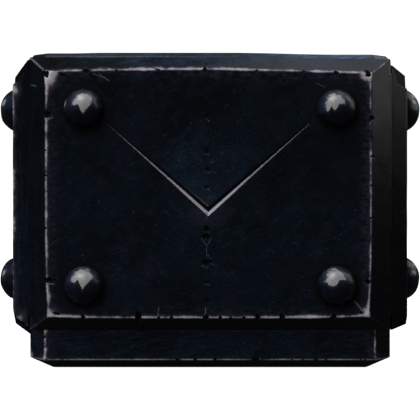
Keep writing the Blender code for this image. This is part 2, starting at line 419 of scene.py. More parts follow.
def bowed(plate, u, v):
    """Where each place of the front plate lies once its edges are bowed, as on a plate beaten by hand."""
    insets = plate.insets(u, v)
    across = np.clip((insets["left"] - insets["right"]) / (insets["left"] + insets["right"]), -1, 1)
    up = np.clip((insets["foot"] - insets["top"]) / (insets["foot"] + insets["top"]), -1, 1)
    inward = {}
    for edge, inside in insets.items():
        bow = BOWS[edge]
        along = up if edge in UPRIGHTS else across
        first = bow.first_end * np.abs(along) ** bow.first_power
        last = bow.last_end * np.abs(along) ** bow.last_power
        reach = (bow.midway + np.where(along < 0, first, last)) * MM
        on_wall = np.clip(1 + inside / plate.runs[edge], 0, 1)
        inward[edge] = reach * np.where(inside > 0, smooth_step(inside, BOW_REACH, 0.0), on_wall)
    up_wall = np.clip(-insets["top"] / plate.runs["top"], 0, 1)
    sag = RIM_SAG * smooth_step(u, 0.0, 70 * MM) * up_wall
    return u + inward["left"] - inward["right"], v + inward["foot"] - inward["top"] - sag


def dropped(plate, u, v):
    """Where each place of a side plate lies, its top wall moved and its foot uneven at the near corner."""
    insets = plate.insets(u, v)
    down_wall, up_wall = (np.clip(-insets[edge] / plate.runs[edge], 0, 1) for edge in LEVELS)
    drop = FOOT_DROPS[plate.side] * smooth_step(plate.to_front(u), 25 * MM, 58 * MM) * down_wall
    at_base, at_face = TOP_RISES[plate.side]
    by_edge = smooth_step(v, plate.face_high - 9 * MM, plate.face_high) * (1.0 - up_wall)
    return u, v - drop + at_base * up_wall + at_face * by_edge


BENDS = {"front": bowed, "left": dropped, "right": dropped}


def edge_pits(plate, chips):
    """Turns each edge's chips into pits."""
    edge_u = {"left": plate.face_left, "right": plate.face_right}
    edge_v = {"foot": plate.face_low, "top": plate.face_high}
    pits = []
    for edge, row in chips.items():
        for chip in row:
            along, half, reach = chip.along * MM, 0.5 * chip.width * MM, chip.reach * MM
            depth = 0.5 * (half + 0.5 * reach)
            if edge in LEVELS:
                pits.append(Pit(along, edge_v[edge], half, reach, 0.0, depth))
            else:
                pits.append(Pit(edge_u[edge], plate.middle_v + along, reach, half, 0.0, depth))
    return pits


def drawn_chips(plate, seed):
    """Chips for a plate whose face isn't shown, in the same number and sizes."""
    draw = random.Random(seed)
    halves = {"top": 44.0, "foot": 44.0}
    if plate.form is not CLIPPED:
        halves = {"top": 53.0, "foot": 53.0, "left": 38.0, "right": 38.0}
    chips = {}
    for edge, half in halves.items():
        count = 7 if half > 40 else 5
        places = [half * (2 * (i + draw.uniform(0.15, 0.85)) / count - 1) for i in range(count)]
        chips[edge] = [Chip(place, draw.uniform(1.1, 3.0), draw.uniform(0.6, 1.5)) for place in places]
    return chips


def drawn_pits(plate, seed):
    """A scatter of small nicks over a face."""
    draw = random.Random(seed)
    pits = []
    for _ in range(16):
        u = draw.uniform(plate.face_left, plate.face_right) * 0.85
        v = draw.uniform(plate.face_low + 8 * MM, plate.face_high - 8 * MM)
        size = draw.uniform(0.5, 1.1) * MM
        pits.append(Pit(u, v, size, size * draw.uniform(0.5, 0.9), draw.uniform(-60, 60), 0.25 * MM))
    return pits


def pit_depths(u, v, pits, wobble):
    """How deep the pits are at each place, and how far inside a pit it lies (1 at the middle)."""
    depth = np.zeros(len(u))
    inside = np.full(len(u), UNMARKED)
    for pit in pits:
        turn = math.radians(pit.turn)
        across = (u - pit.u) * math.cos(turn) + (v - pit.v) * math.sin(turn)
        up = (v - pit.v) * math.cos(turn) - (u - pit.u) * math.sin(turn)
        spread = (np.abs(across / pit.half_width) ** 1.5 + np.abs(up / pit.half_height) ** 1.5) ** (1 / 1.5)
        level = 1.0 - spread + wobble
        depth = np.maximum(depth, pit.depth * smooth_step(level, -0.1, 0.9))
        inside = np.maximum(inside, level)
    return depth, inside


# ---------------------------------------------------------------- plates


class Plate:
    """One plate's measures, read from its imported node."""

    def __init__(self, side):
        self.side = side
        self.form, self.turns = PLATES[side]
        low, high = plate_box(f"plate_{side}", self.turns)
        self.base_left, self.base_right = low[0], high[0]
        self.base_low, self.base_high = low[1], high[1]
        self.base_out, self.face_out = low[2], high[2]
        self.face_left = self.base_left + self.form.side_run + self.form.set_over
        self.face_right = self.base_right - self.form.side_run + self.form.set_over
        self.face_low = self.base_low + self.form.foot_run
        self.face_high = self.base_high - self.form.top_run
        self.middle_v = 0.5 * (self.face_low + self.face_high)
        self.runs = {
            "left": self.face_left - self.base_left, "right": self.base_right - self.face_right,
            "foot": self.face_low - self.base_low, "top": self.base_high - self.face_high,
        }
        self.base_corners = corners_of(self.base_left, self.base_right, self.base_low, self.base_high)
        self.face_corners = corners_of(self.face_left, self.face_right, self.face_low, self.face_high)
        self.rivets = self.find_rivets()

    def find_rivets(self):
        """Each rivet's node, middle and head radius."""
        rivets = {}
        for level in ("lower", "upper"):
            for hand in UPRIGHTS:
                node = f"rivet_{self.side}_{level}_{hand}"
                low, high = plate_box(node, self.turns)
                rivets[node] = (0.5 * (low[0] + high[0]), 0.5 * (low[1] + high[1]), 0.5 * (high[1] - low[1]))
        return rivets

    def in_hole(self, face, places):
        """Whether a face lies in a rivet's hole."""
        middle = places[list(face)].mean(axis=0)
        return any(math.dist(middle, (across, up)) < HOLE_RADIUS for across, up, _ in self.rivets.values())

    def to_front(self, u):
        """How far a place on a side plate is from its middle, towards the front."""
        return u if self.side == "left" else -u

    def insets(self, u, v):
        """How far each place is inside each edge of the face."""
        return {
            "left": u - self.face_left, "right": self.face_right - u,
            "foot": v - self.face_low, "top": self.face_high - v,
        }

    def outline(self, share, inset=0.0):
        """The corners at a share of the way from base to face, drawn in by the inset."""
        left, right, low, high, cut = (base + (face - base) * share for base, face in (
            (self.base_left, self.face_left), (self.base_right, self.face_right),
            (self.base_low, self.face_low), (self.base_high, self.face_high),
            (self.form.base_cut, self.form.face_cut),
        ))
        return clipped_outline(left + inset, right - inset, low + inset, high - inset, cut)

    def wall_heights(self, u, v):
        """The plane of each sloping wall (left, right, foot, top), then the form of each corner."""
        rise = self.face_out - self.base_out
        insets = self.insets(u, v)
        walls = [self.face_out + rise * insets[edge] / self.runs[edge] for edge in UPRIGHTS + LEVELS]
        for side in UPRIGHTS:
            for level, clip in zip(LEVELS, (clipped_foot, dented_top)):
                if self.form is CLIPPED:
                    walls.append(self.face_out + clip(self.side, insets[side], insets[level]))
                    continue
                run = self.runs[side] + self.runs[level] + self.form.face_cut - self.form.base_cut
                way_in = insets[side] + insets[level] - self.form.face_cut
                walls.append(self.face_out + rise * way_in / run)
        return walls

    def regions(self, u, v):
        """Which part of the pan each place is on: 0 the face, 1 to 4 the walls, 5 to 8 the corners."""
        return np.argmin([np.full(len(u), self.face_out), *self.wall_heights(u, v)], axis=0)


def groove_measures(plate, u):
    """The V's middle line, half width and slope's cosine at each u."""
    middle = plate.form.set_over
    share = np.abs(u - middle) / GROOVE_HALF_SPAN
    line = GROOVE_POINT_Z + (GROOVE_END_Z - GROOVE_POINT_Z) * share
    half_width = 0.5 * (GROOVE_POINT_WIDTH + (GROOVE_END_WIDTH - GROOVE_POINT_WIDTH) * share)
    cosine = GROOVE_HALF_SPAN / math.hypot(GROOVE_HALF_SPAN, GROOVE_END_Z - GROOVE_POINT_Z)
    return line, half_width, cosine, share


def groove_offset(plate, u, v):
    """Distance from the V's middle line in half widths (positive above it), and how deep it is cut."""
    line, half_width, cosine, share = groove_measures(plate, u)
    offset = (v - line) * cosine / half_width
    ends = smooth_step(share, 1.01, 0.97)
    depth = 2 * half_width * GROOVE_DEPTH_SHARE * np.clip(1.0 - np.abs(offset), 0.0, 1.0) * ends
    return offset, depth, share


def groove_points(plate):
    """Rows of points along the V's two legs."""
    middle, reach = plate.form.set_over, 1.02 * GROOVE_HALF_SPAN
    points = []
    for place in stations([middle - reach, middle, middle + reach], 0.4 * MM):
        line, half_width, cosine, _ = groove_measures(plate, np.array([place]))
        points += [(place, line[0] + row * half_width[0] / cosine) for row in GROOVE_ROWS]
    return points


def mitre_points(plate):
    """Rows of points along the four mitres, where two walls meet."""
    points, steps = [], 32
    for corner, base in plate.base_corners.items():
        start, end = np.array(base), np.array(plate.face_corners[corner])
        along = (end - start) / np.linalg.norm(end - start)
        across = np.array((-along[1], along[0]))
        for step in range(1, steps):
            middle = start + (end - start) * step / steps
            points += [tuple(middle + across * row * MM) for row in MITRE_ROWS]
    return points


def clip_points(plate):
    """A fine grid over a clipped plate's corners, whose facets are steep."""
    points = []
    for corner, (u, v) in plate.face_corners.items():
        level, side = corner.split("_")
        out_u = -1 if side == "left" else 1
        out_v = -1 if level == "foot" else 1
        for across in stations([-6 * MM, 4.2 * MM], CLIP_GRID):
            for up in stations([-6 * MM, 4.6 * MM], CLIP_GRID):
                points.append((u + out_u * across, v + out_v * up))
    return points


def grid_points(plate, pits):
    """A grid with rows beside each edge of the face: fine by the edges and the pits, thinned out between."""
    across, up = (
        np.array(stations([low, *(edge + row * MM for edge in edges for row in EDGE_ROWS), high], GRID_FINE))
        for low, edges, high in (
            (plate.base_left, (plate.face_left, plate.face_right), plate.base_right),
            (plate.base_low, (plate.face_low, plate.face_high), plate.base_high),
        )
    )
    u, v = (axis.ravel() for axis in np.meshgrid(across, up))
    column, row = (axis.ravel() for axis in np.meshgrid(np.arange(len(across)), np.arange(len(up))))
    border = np.min(list(plate.insets(u, v).values()), axis=0)
    keep = (border < GRID_BORDER) | ((column % 2 == 0) & (row % 2 == 0))
    for pit in pits:
        keep |= np.hypot(u - pit.u, v - pit.v) < 1.8 * max(pit.half_width, pit.half_height)
    return list(zip(u[keep], v[keep]))


def inner_points(plate, pits):
    """The points between a plate's outline and its holes."""
    points = grid_points(plate, pits) + (clip_points if plate.form is CLIPPED else mitre_points)(plate)
    for stroke in STROKES.get(plate.side, ()) + SMEARS.get(plate.side, ()):
        points += stroke_points(stroke)

    u, v = np.array(points).T
    keep = np.min(plate.wall_heights(u, v), axis=0) > plate.base_out + OUTLINE_CLEAR
    for across_r, up_r, _ in plate.rivets.values():
        keep &= np.hypot(u - across_r, v - up_r) > HOLE_RADIUS + 0.3 * MM
    if plate.form is not CHASED:
        return list(zip(u[keep], v[keep]))
    offset, _, share = groove_offset(plate, u, v)
    keep &= (np.abs(offset) > GROOVE_ROWS[-1] + 0.25) | (share > 1.03)
    return list(zip(u[keep], v[keep])) + groove_points(plate)


def stroke_points(stroke):
    """Points along a stroke and to either side, so that its mark is sharp."""
    start, end = np.array(stroke.start) * MM, np.array(stroke.end) * MM
    along = (end - start) / np.linalg.norm(end - start)
    across = np.array((-along[1], along[0])) * stroke.width * MM
    steps = max(2, math.ceil(np.linalg.norm(end - start) / (0.25 * MM)))
    return [
        tuple(start + (end - start) * step / steps + across * row)
        for step in range(steps + 1) for row in (-1.1, -0.5, 0.0, 0.5, 1.1)
    ]


def plate_damage(plate):
    """The plate's chips and nicks."""
    if plate.side == "front":
        return edge_pits(plate, FRONT_CHIPS) + [
            Pit(pit.u * MM, pit.v * MM, pit.half_width * MM, pit.half_height * MM, pit.turn, pit.depth * MM)
            for pit in FRONT_PITS
        ]
    seed = sum(map(ord, plate.side))
    return edge_pits(plate, drawn_chips(plate, seed)) + drawn_pits(plate, seed + 1)


class EdgeWear(NamedTuple):
    """A rubbed edge: its strength, then in mm how far it fades over face and wall, and its shift inwards."""
    strength: float
    on_face: float
    on_wall: float
    shift: float


EDGE_WEAR = {
    "top": EdgeWear(0.80, 0.65, 0.90, -0.25), "left": EdgeWear(0.84, 1.05, 0.40, 0.30),
    "right": EdgeWear(0.84, 0.90, 0.40, 0.25), "foot": EdgeWear(1.02, 0.80, 0.36, 0.16),
}

# The left plate's edge nearest the front
NEAR_EDGE_WEAR = EdgeWear(0.54, 1.00, 0.95, -0.10)

# What each plate's edges have less of than the front's: the right plate's near edge is hardly rubbed
EDGE_LOSS = {"right": {"left": 1.2, "foot": 0.2}, "left": {"right": 0.20, "foot": 0.2}}

# The rubbed mitres of each plate: their width in mm, and strength
MITRE_WEAR = {
    "front": {
        "top_left": (0.48, 1.05), "top_right": (0.40, 1.0),
        "foot_left": (0.80, 0.45), "foot_right": (0.6, 0.0),
    },
    "left": {"top_right": (0.50, 0.30), "foot_right": (0.50, 0.60)},
    "right": {"top_left": (0.50, 0.0), "foot_left": (0.50, 0.0)},
    "back": {
        "top_left": (0.55, 0.8), "top_right": (0.50, 0.8), "foot_left": (0.50, 0.4), "foot_right": (0.5, 0.4),
    },
}

# The corners of each face: the radius in mm that a rubbed line turns in, then the rubbed patches' reach
# in mm, and strength
CORNER_ROUNDS = {"top_left": 1.4, "top_right": 4.0, "foot_left": 1.8, "foot_right": 2.0}
CORNER_WEAR = {
    "front": {
        "top_left": (2.6, 2.30), "top_right": (2.7, 1.85),
        "foot_left": (2.5, 1.60), "foot_right": (2.3, 1.60),
    },
    "left": {"top_left": (3.5, 1.0), "foot_left": (3.5, 1.0)},
    "right": {"top_right": (3.5, 1.0), "foot_right": (3.5, 1.0)},
    "back": {
        "top_left": (4.0, 1.1), "top_right": (4.2, 1.1), "foot_left": (3.8, 1.1), "foot_right": (4.0, 1.1),
    },
}

# Painted shade on the upright walls: how light the ground is at the foot and at the top, darkest on the walls
# that face right
WALL_SHADES = {
    "front": {"left": (0.66, 0.52), "right": (0.35, 0.35)}, "back": {"left": (0.6, 0.5), "right": (0.6, 0.5)},
    "left": {"left": (0.7, 0.5), "right": (1.25, 0.45)}, "right": {"left": (0.35, 0.35), "right": (0.7, 0.5)},
}
TOP_PAINTED_LIGHT = (0.5, 3.6)              # painted light and sheen on the top wall, which faces up: at the left end and from the middle on
# Painted shade on the foot wall, which faces down, and on the corners between the walls
FOOT_WALL_SHADE, CORNER_SHADE = 0.6, 0.4
LOW_TONE, CHASED_TONE = 0.26, 0.95  # what the face's lower half, and the V's inside, have over the rest
HAZE_REACH = 5.0                    # of the bloom by the face's edges, in mm
LOW_HAZE = 5.5 * MM                 # its height at the foot of the upright walls


def edge_distances(plate, u, v):
    """For each edge of the face: how far inside it a place is, and how far past its ends, in mm."""
    insets = {edge: inset / MM for edge, inset in plate.insets(u, v).items()}
    beyond_u = np.maximum(np.maximum(-insets["left"], -insets["right"]), 0.0)
    beyond_v = np.maximum(np.maximum(-insets["foot"], -insets["top"]), 0.0)
    return {edge: (inset, beyond_v if edge in UPRIGHTS else beyond_u) for edge, inset in insets.items()}


def edge_wear(plate, u, v, distances, swell):
    """The wear along the face's edges, which turns each corner in an arc."""
    corner_round = np.zeros(len(u))
    for corner, radius in CORNER_ROUNDS.items():
        level, side = corner.split("_")
        corner_round[((v >= plate.middle_v) == (level == "top")) & ((u > 0) == (side == "right"))] = radius
    midway = smooth_step(np.abs(v - plate.middle_v), 36 * MM, 18 * MM)
    field = np.full(len(u), UNRUBBED)
    for edge, (inside, past_end) in distances.items():
        at_near_edge = plate.side == "left" and edge == "right"
        form = NEAR_EDGE_WEAR if at_near_edge else EDGE_WEAR[edge]
        crossing = LEVELS if edge in UPRIGHTS else UPRIGHTS
        beside = np.minimum(distances[crossing[0]][0], distances[crossing[1]][0])
        to_arc = corner_round - np.hypot(corner_round - inside, corner_round - beside)
        off = np.where((inside < corner_round) & (beside < corner_round), to_arc, inside) - form.shift
        fall = np.where(off > 0, off / form.on_face, -off / form.on_wall) + past_end / 0.4
        lost = EDGE_LOSS.get(plate.side, {}).get(edge, 0.0) * (midway if at_near_edge else 1.0)
        if plate.form is CLIPPED and edge in LEVELS:
            lost += 2.5 * smooth_step(plate.to_front(u), 40 * MM, 49 * MM)
        field = np.maximum(field, form.strength - lost + swell - fall)
    return field


def plate_wear(plate, u, v, h):
    """How worn each place is: faint under 0, pinkish by 0.3 and pale metal towards 1."""
    solid = np.column_stack((u, v, h))
    swell = 0.75 * ripple(solid, 8 * MM, plate.turns + 1) + 0.45 * ripple(solid, 2.2 * MM, plate.turns + 5)
    distances = edge_distances(plate, u, v)
    field = edge_wear(plate, u, v, distances, swell)
    for corner, (width, strength) in MITRE_WEAR[plate.side].items():
        start = (*plate.base_corners[corner], plate.base_out)
        end = (*plate.face_corners[corner], plate.face_out)
        distance = to_segment(solid, start, end) / MM
        field = np.maximum(field, strength + 0.5 * swell - distance / width)
    for corner, (reach, strength) in CORNER_WEAR[plate.side].items():
        inside_v, inside_u = (distances[edge][0] for edge in corner.split("_"))
        off_face = np.maximum(np.maximum(-inside_u, -inside_v), 0.0) / 0.35
        field = np.maximum(field, strength + 0.7 * swell - np.hypot(inside_u, inside_v) / reach - off_face)
    for patch in PATCHES.get(plate.side, ()):
        spread = np.hypot((u / MM - patch.u) / patch.half_width, (v / MM - patch.v) / patch.half_height)
        field = np.maximum(field, patch.strength + 0.6 * swell - spread)
    if plate.form is CLIPPED:
        field = np.where(plate.regions(u, v) > 4, field - 1.2, field)
    return field


def edge_haze(plate, u, v):
    """The faint bloom on the face by its upright edges, then by its level ones."""
    insets = {edge: inside for edge, (inside, _) in edge_distances(plate, u, v).items()}
    on_face = np.min(list(insets.values()), axis=0) > -0.2
    blooms = []
    for first, second in (UPRIGHTS, LEVELS):
        nearest = np.minimum(np.abs(insets[first]), np.abs(insets[second]))
        bloom = np.clip(1.0 - nearest / HAZE_REACH, 0.0, 1.0) * (1.0 + 0.5 * (u > 0))
        blooms.append(np.where(on_face, bloom, 0.0))
    lower_end = (plate.base_low + LOW_HAZE - v) / LOW_HAZE
    upright_wall = np.minimum(insets["left"], insets["right"]) < -0.3
    blooms[1] = np.maximum(blooms[1], np.where(upright_wall, np.clip(lower_end, 0.0, 1.0), 0.0))
    return blooms


def stroke_levels(u, v, strokes):
    """How strongly the strokes mark each place: their strength on the middle line, fading by their width."""
    flat = np.column_stack((u, v))
    level = np.full(len(u), UNMARKED)
    for stroke in strokes:
        start, end = np.array(stroke.start) * MM, np.array(stroke.end) * MM
        level = np.maximum(level, stroke.strength - to_segment(flat, start, end) / (stroke.width * MM))
    return level


def groove_fields(plate, u, v, wear, soot_and_shade):
    """Adds the V's lower wall, rubbed and painted light as it faces up, the painted shade on its upper wall,
    which faces down, and the bloom round its point.
    """
    offset, _, share = groove_offset(plate, u, v)
    on_leg = smooth_step(share, 1.01, 0.96)
    fading = np.where(u < plate.form.set_over, 0.70, 1.00)
    # The lower wall, which faces up: rubbed, and painted light
    lower_wall = 1.05 - fading * share - 8.0 * (np.abs(offset + 0.53) - 0.40).clip(0)
    in_groove = (np.abs(offset) < 1.2) & (on_leg > 0.0)
    wear = np.where(in_groove, lower_wall - 2.0 * (1.0 - on_leg), wear)
    upper_lip = 0.75 - np.abs(offset - 1.10) / 0.26 - share / 0.55
    wear = np.where((u < plate.form.set_over) & (on_leg > 0.0), np.maximum(wear, upper_lip), wear)
    # Painted shade on the upper wall, which faces down
    in_upper = smooth_step(offset, -0.10, 0.10) * smooth_step(offset, 1.05, 0.90)
    soot_and_shade = np.maximum(soot_and_shade, in_upper * on_leg)
    apex = np.hypot(u - plate.form.set_over, 1.3 * (v - GROOVE_POINT_Z))
    bloom = 0.02 - apex / (11 * MM)
    return np.maximum(wear, np.where(in_groove, UNRUBBED, bloom)), soot_and_shade


def plate_tones_and_shading(plate, region, u, v):
    """How light the ground is on each part of the pan: a random tone, with painted shade on the walls that
    face right and down and on the corners, and painted light on the top wall.
    """
    height = smooth_step(v, plate.base_low, plate.base_high)
    tone_and_shading = 0.92 + LOW_TONE * smooth_step(v, 85 * MM, 60 * MM)
    tone_and_shading += 0.45 * ripple(np.column_stack((u, v, np.zeros(len(u)))), 17 * MM, 33 + plate.turns)
    if plate.form is CHASED:
        inside_v = groove_offset(plate, u, v)[0] > 0
        near_point = smooth_step(np.hypot(u, v - 68 * MM), 28 * MM, 10 * MM)
        tone_and_shading += CHASED_TONE * inside_v * near_point
    for number, side in ((1, "left"), (2, "right")):
        at_foot, at_top = WALL_SHADES[plate.side][side]
        tone_and_shading = np.where(region == number, at_foot + (at_top - at_foot) * height, tone_and_shading)
    at_left, at_right = TOP_PAINTED_LIGHT
    # Painted light on the top wall, which faces up: lighter from the left end towards the middle, and
    # streaked
    top_light = at_left + (at_right - at_left) * smooth_step(u, -60 * MM, 5 * MM)
    flat = np.column_stack((u, 2.0 * v, np.zeros(len(u))))
    top_light *= 1.0 + (0.9 - 0.5 * smooth_step(u, -5 * MM, 35 * MM)) * ripple(flat, 9 * MM, 31)
    for number, value in ((3, FOOT_WALL_SHADE), (4, top_light)):
        tone_and_shading = np.where(region == number, value, tone_and_shading)
    return np.where(region > 4, CORNER_SHADE, tone_and_shading)


def wall_shade(plate, region):
    """Painted shade on the walls: dark at the foot, which faces down, and on the beaten-in corners."""
    soot_and_shade = np.where(region == 3, 0.8, 0.0)
    return np.where(region > 4, 0.85 if plate.form is CLIPPED else 0.0, soot_and_shade)


def plate_fields(plate, u, v, h, pits, wobble):
    """The attributes that the plate's material reads."""
    _, inside = pit_depths(u, v, pits, wobble)
    wear = plate_wear(plate, u, v, h)
    soot_and_shade = np.zeros(len(u))
    # Painted shade round each rivet, centred a little below it
    for across, up, radius in plate.rivets.values():
        distance = np.hypot(u - across, v - (up - 0.4 * MM)) / radius
        soot_and_shade = np.maximum(soot_and_shade, HALO_SHADE * smooth_step(distance, *HALO_SHADE_ENDS))
    mark, smear = (stroke_levels(u, v, table.get(plate.side, ())) for table in (STROKES, SMEARS))
    soot_and_shade = np.maximum(soot_and_shade, smooth_step(smear, 0.0, 0.9))
    if plate.form is CHASED:
        wear, soot_and_shade = groove_fields(plate, u, v, wear, soot_and_shade)
    region = plate.regions(u, v)
    soot_and_shade = np.maximum(soot_and_shade, wall_shade(plate, region) * smooth_step(wear, 0.25, -0.35))
    haze_u, haze_v = edge_haze(plate, u, v)
    streaked = np.where(region == 4, 1.0 - 0.85 * smooth_step(u, -5 * MM, 30 * MM), region == 3)
    return {
        "wear": wear, "pit": inside, "soot_and_shade": soot_and_shade, "mark": mark, "tone_and_shading": plate_tones_and_shading(plate, region, u, v),
        "foot": (region == 3).astype(float),
        "upright": ((region == 1) | (region == 2)).astype(float),
        "level": streaked,
        "haze_u": haze_u, "haze_v": haze_v,
        "sheet": np.column_stack((u, h, v)) + plate.turns * 0.31,
    }


def plate_outline(plate):
    """The plate's outer edge. A broad plate's side walls run on a little, to close the corner's seam."""
    corners = plate.outline(0.0)
    points = sampled(corners, 0.6 * MM)
    if plate.form is CLIPPED:
        return points
    middle = 0.5 * (plate.base_left + plate.base_right)
    half = 0.5 * (plate.base_right - plate.base_left)
    middle_v = 0.5 * (plate.base_low + plate.base_high)
    half_v = 0.5 * (plate.base_high - plate.base_low)
    spread = []
    for u, v in points:
        on_side = smooth_step(abs(u - middle), half - 0.31 * MM, half - 0.01 * MM)
        short_of_end = smooth_step(half_v - abs(v - middle_v), *SKIRT_ENDS)
        spread.append((u + math.copysign(SKIRT * on_side * short_of_end, u - middle), v))
    return spread


def plate_surface(plate, u, v, pits, wobble):
    """The height of the worn outer sheet at each place."""
    flat = np.column_stack((u, v, np.zeros(len(u)))) + plate.turns
    wander = EDGE_WANDER * ripple(flat, 9 * MM, 5)
    h = np.full(len(u), plate.face_out)
    for wall in plate.wall_heights(u, v):
        h = soft_min(h, wall + wander, EDGE_BLEND)
    h -= pit_depths(u, v, pits, wobble)[0]
    if plate.form is CHASED:
        h -= groove_offset(plate, u, v)[1]
    return h + HAMMERING * ripple(flat, 11 * MM, 8)


def plate_back(plate, outline, holes, number_of, count):
    """The pan's back, sewn to the front: a flat rim, the inner walls, the floor and the holes' walls.

    Returns its own places as (u, v, h), numbered on from the front's count, and all its faces.
    """
    floor_out = plate.face_out - PLATE_SHEET
    floor_share = (floor_out - plate.base_out) / (plate.face_out - plate.base_out)
    rim = plate.outline(0.0, PLATE_RIM)
    floor = plate.outline(floor_share, PLATE_RIM)
    places, triangles, numbers = triangulate([outline, *holes, rim, floor])
    rim_start = len(outline) + len(holes) * HOLE_SIDES
    floor_start = rim_start + len(rim)
    index_of, behind = {}, []
    for place, number in zip(places, numbers):
        if number < len(outline):
            index_of[number] = number_of[number]
            continue
        index_of[number] = count + len(behind)
        behind.append((*place, plate.base_out if rim_start <= number < floor_start else floor_out))
    faces = [
        tuple(index_of[numbers[i]] for i in reversed(face))
        for face in triangles if not plate.in_hole(face, places)
    ]
    for start in range(len(outline), rim_start, HOLE_SIDES):
        for i in range(HOLE_SIDES):
            a, b = start + i, start + (i + 1) % HOLE_SIDES
            faces.append((number_of[a], number_of[b], index_of[b], index_of[a]))
    return np.array(behind), faces


def make_plate(plate, material):
    """The plate's worn outer sheet, sewn to the plain back of the pan at the outline and the holes."""
    pits = plate_damage(plate)
    outline = plate_outline(plate)
    holes = [circle((across, up), HOLE_RADIUS, HOLE_SIDES) for across, up, _ in plate.rivets.values()]
    places, faces, numbers = triangulate([outline, *holes], inner_points(plate, pits))
    u, v = places[:, 0], places[:, 1]
    wobble = 0.55 * ripple(np.column_stack((u, v, np.full(len(u), plate.turns))), 0.9 * MM, 3)
    h = plate_surface(plate, u, v, pits, wobble)
    number_of = {number: index for index, number in enumerate(numbers) if number >= 0}
    edge = [number_of[i] for i in range(len(outline))]
    edge_h = np.min(plate.wall_heights(u[edge], v[edge]), axis=0)
    h = np.maximum(h, plate.base_out - SKIRT)
    h[edge] = np.minimum(edge_h, plate.base_out)
    fields = plate_fields(plate, u, v, h, pits, wobble)

    behind, back_faces = plate_back(plate, outline, holes, number_of, len(u))
    faces = [tuple(face) for face in faces if not plate.in_hole(face, places)] + back_faces
    for name, values in fields.items():
        if values.ndim == 2:
            more = behind[:, [0, 2, 1]]
        else:
            more = np.full(len(behind), UNMARKED if name in ("wear", "pit", "mark") else 0.0)
        fields[name] = np.concatenate((values, more))
    u, v, h = (np.concatenate((front, behind[:, axis])) for axis, front in enumerate((u, v, h)))
    if plate.side in BENDS:
        u, v = BENDS[plate.side](plate, u, v)
    item = mesh_object(f"{plate.side}_plate", to_world(u, v, h, plate.turns), faces, fields, material)
    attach(item, "root")
    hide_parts(f"plate_{plate.side}")
    return item


# ---------------------------------------------------------------- rivets


class Crown(NamedTuple):
    """The rubbed patch on a rivet's crown, painted bright also as a highlight, in mm from its middle: an
    oval, cut off below along a hem.
    """
    u: float
    v: float
    half_width: float
    half_height: float
    hem: tuple[tuple[float, float], ...]


class Glint(NamedTuple):
    """A painted glint: a small bright spot on the side of a dome, in mm from its middle."""
    u: float
    v: float
    half_width: float
    half_height: float


CROWNS = {
    "front_upper_left": Crown(0.3, 1.0, 3.7, 4.4, (
        (-3.2, 0.9), (-2.2, 0.6), (-1.2, 1.2), (-0.5, -0.6), (0.5, -2.4), (1.6, -0.8), (3.6, 1.3),
    )),
    "front_upper_right": Crown(-1.0, 0.8, 3.6, 4.4, (
        (-4.2, -1.0), (-3.5, -1.7), (-2.4, 0.4), (-1.3, -1.3), (0.2, 0.8), (2.3, 1.0),
    )),
    "front_lower_left": Crown(0.0, 2.1, 3.8, 4.3, (
        (-3.3, 1.8), (-2.4, 1.3), (-1.3, 2.6), (-0.6, 1.0), (0.4, -1.0), (1.6, 0.9), (3.3, 2.5),
    )),
    "front_lower_right": Crown(-0.9, 2.1, 3.7, 4.3, (
        (-4.0, 1.6), (-3.3, 0.5), (-1.6, 0.1), (-0.6, 0.8), (0.3, 2.3), (2.5, 2.4),
    )),
}
SIDE_CROWNS = {
    "left": Crown(0.9, 2.0, 1.9, 3.0, ((-2.0, 0.0), (2.0, 0.0))),
    "right": Crown(-0.6, 4.9, 4.2, 1.7, ((-4.0, 0.0), (4.0, 0.0))),
}
GLINTS = {
    "left": Glint(5.0, 2.5, 1.1, 1.5), "right": Glint(-5.9, 2.6, 0.9, 1.4),
    "front_upper_left": Glint(-6.4, 1.7, 0.6, 1.6),
}


def drawn_crown(draw):
    """The crown of a rivet that isn't shown."""
    u, v = draw.uniform(-0.8, 0.4), draw.uniform(2.3, 3.0)
    return Crown(u, v, draw.uniform(3.0, 3.5), draw.uniform(2.7, 3.1), (
        (u - 3.3, v - 1.2), (u - 1.5, v - draw.uniform(1.0, 2.0)), (u + draw.uniform(-0.3, 0.6), v - 4.0),
        (u + 1.5, v - 2.0), (u + 3.3, v - 1.0),
    ))


def dome_polish_and_highlight(crown, glint, u, v, ragged):
    """How rubbed each place on a dome is, with its painted highlight and glint: over 0 it is bright."""
    def out(spot):
        return np.hypot((u / MM - spot.u) / spot.half_width, (v / MM - spot.v) / spot.half_height)
    hem = np.interp(u / MM, *np.array(crown.hem).T)
    patch = np.minimum(1.0 - out(crown), (v / MM - hem) / 1.4)
    if glint:
        patch = np.maximum(patch, 0.45 - 0.5 * out(glint))
    return patch + ragged


def rim_reflection(radius, u, v):
    """A painted reflection: the light crescent on a front dome's upper right rim."""
    out = np.hypot(u, v) / radius
    turn = np.degrees(np.arctan2(v, u))
    return smooth_step(out, 0.62, 0.86) * smooth_step(turn, -20, 45) * smooth_step(turn, 112, 82)


def dome_profile(radius, base, height, inside):
    """The rivet's outline as (radius, height), from the crown round to the tail's tip."""
    profile = []
    for ring in range(1, DOME_RINGS + 1):
        angle = 0.5 * math.pi * ring / DOME_RINGS
        profile.append((radius * math.sin(angle), base + height * math.cos(angle)))
    return profile + [
        (0.97 * radius, base), (SHANK_RADIUS, base), (SHANK_RADIUS, inside),
        (TAIL_RADIUS, inside), (TAIL_RADIUS, inside - 0.25 * TAIL_HEIGHT),
        (0.9 * TAIL_RADIUS, inside - 0.7 * TAIL_HEIGHT), (TAIL_TIP_RADIUS, inside - TAIL_HEIGHT),
    ]


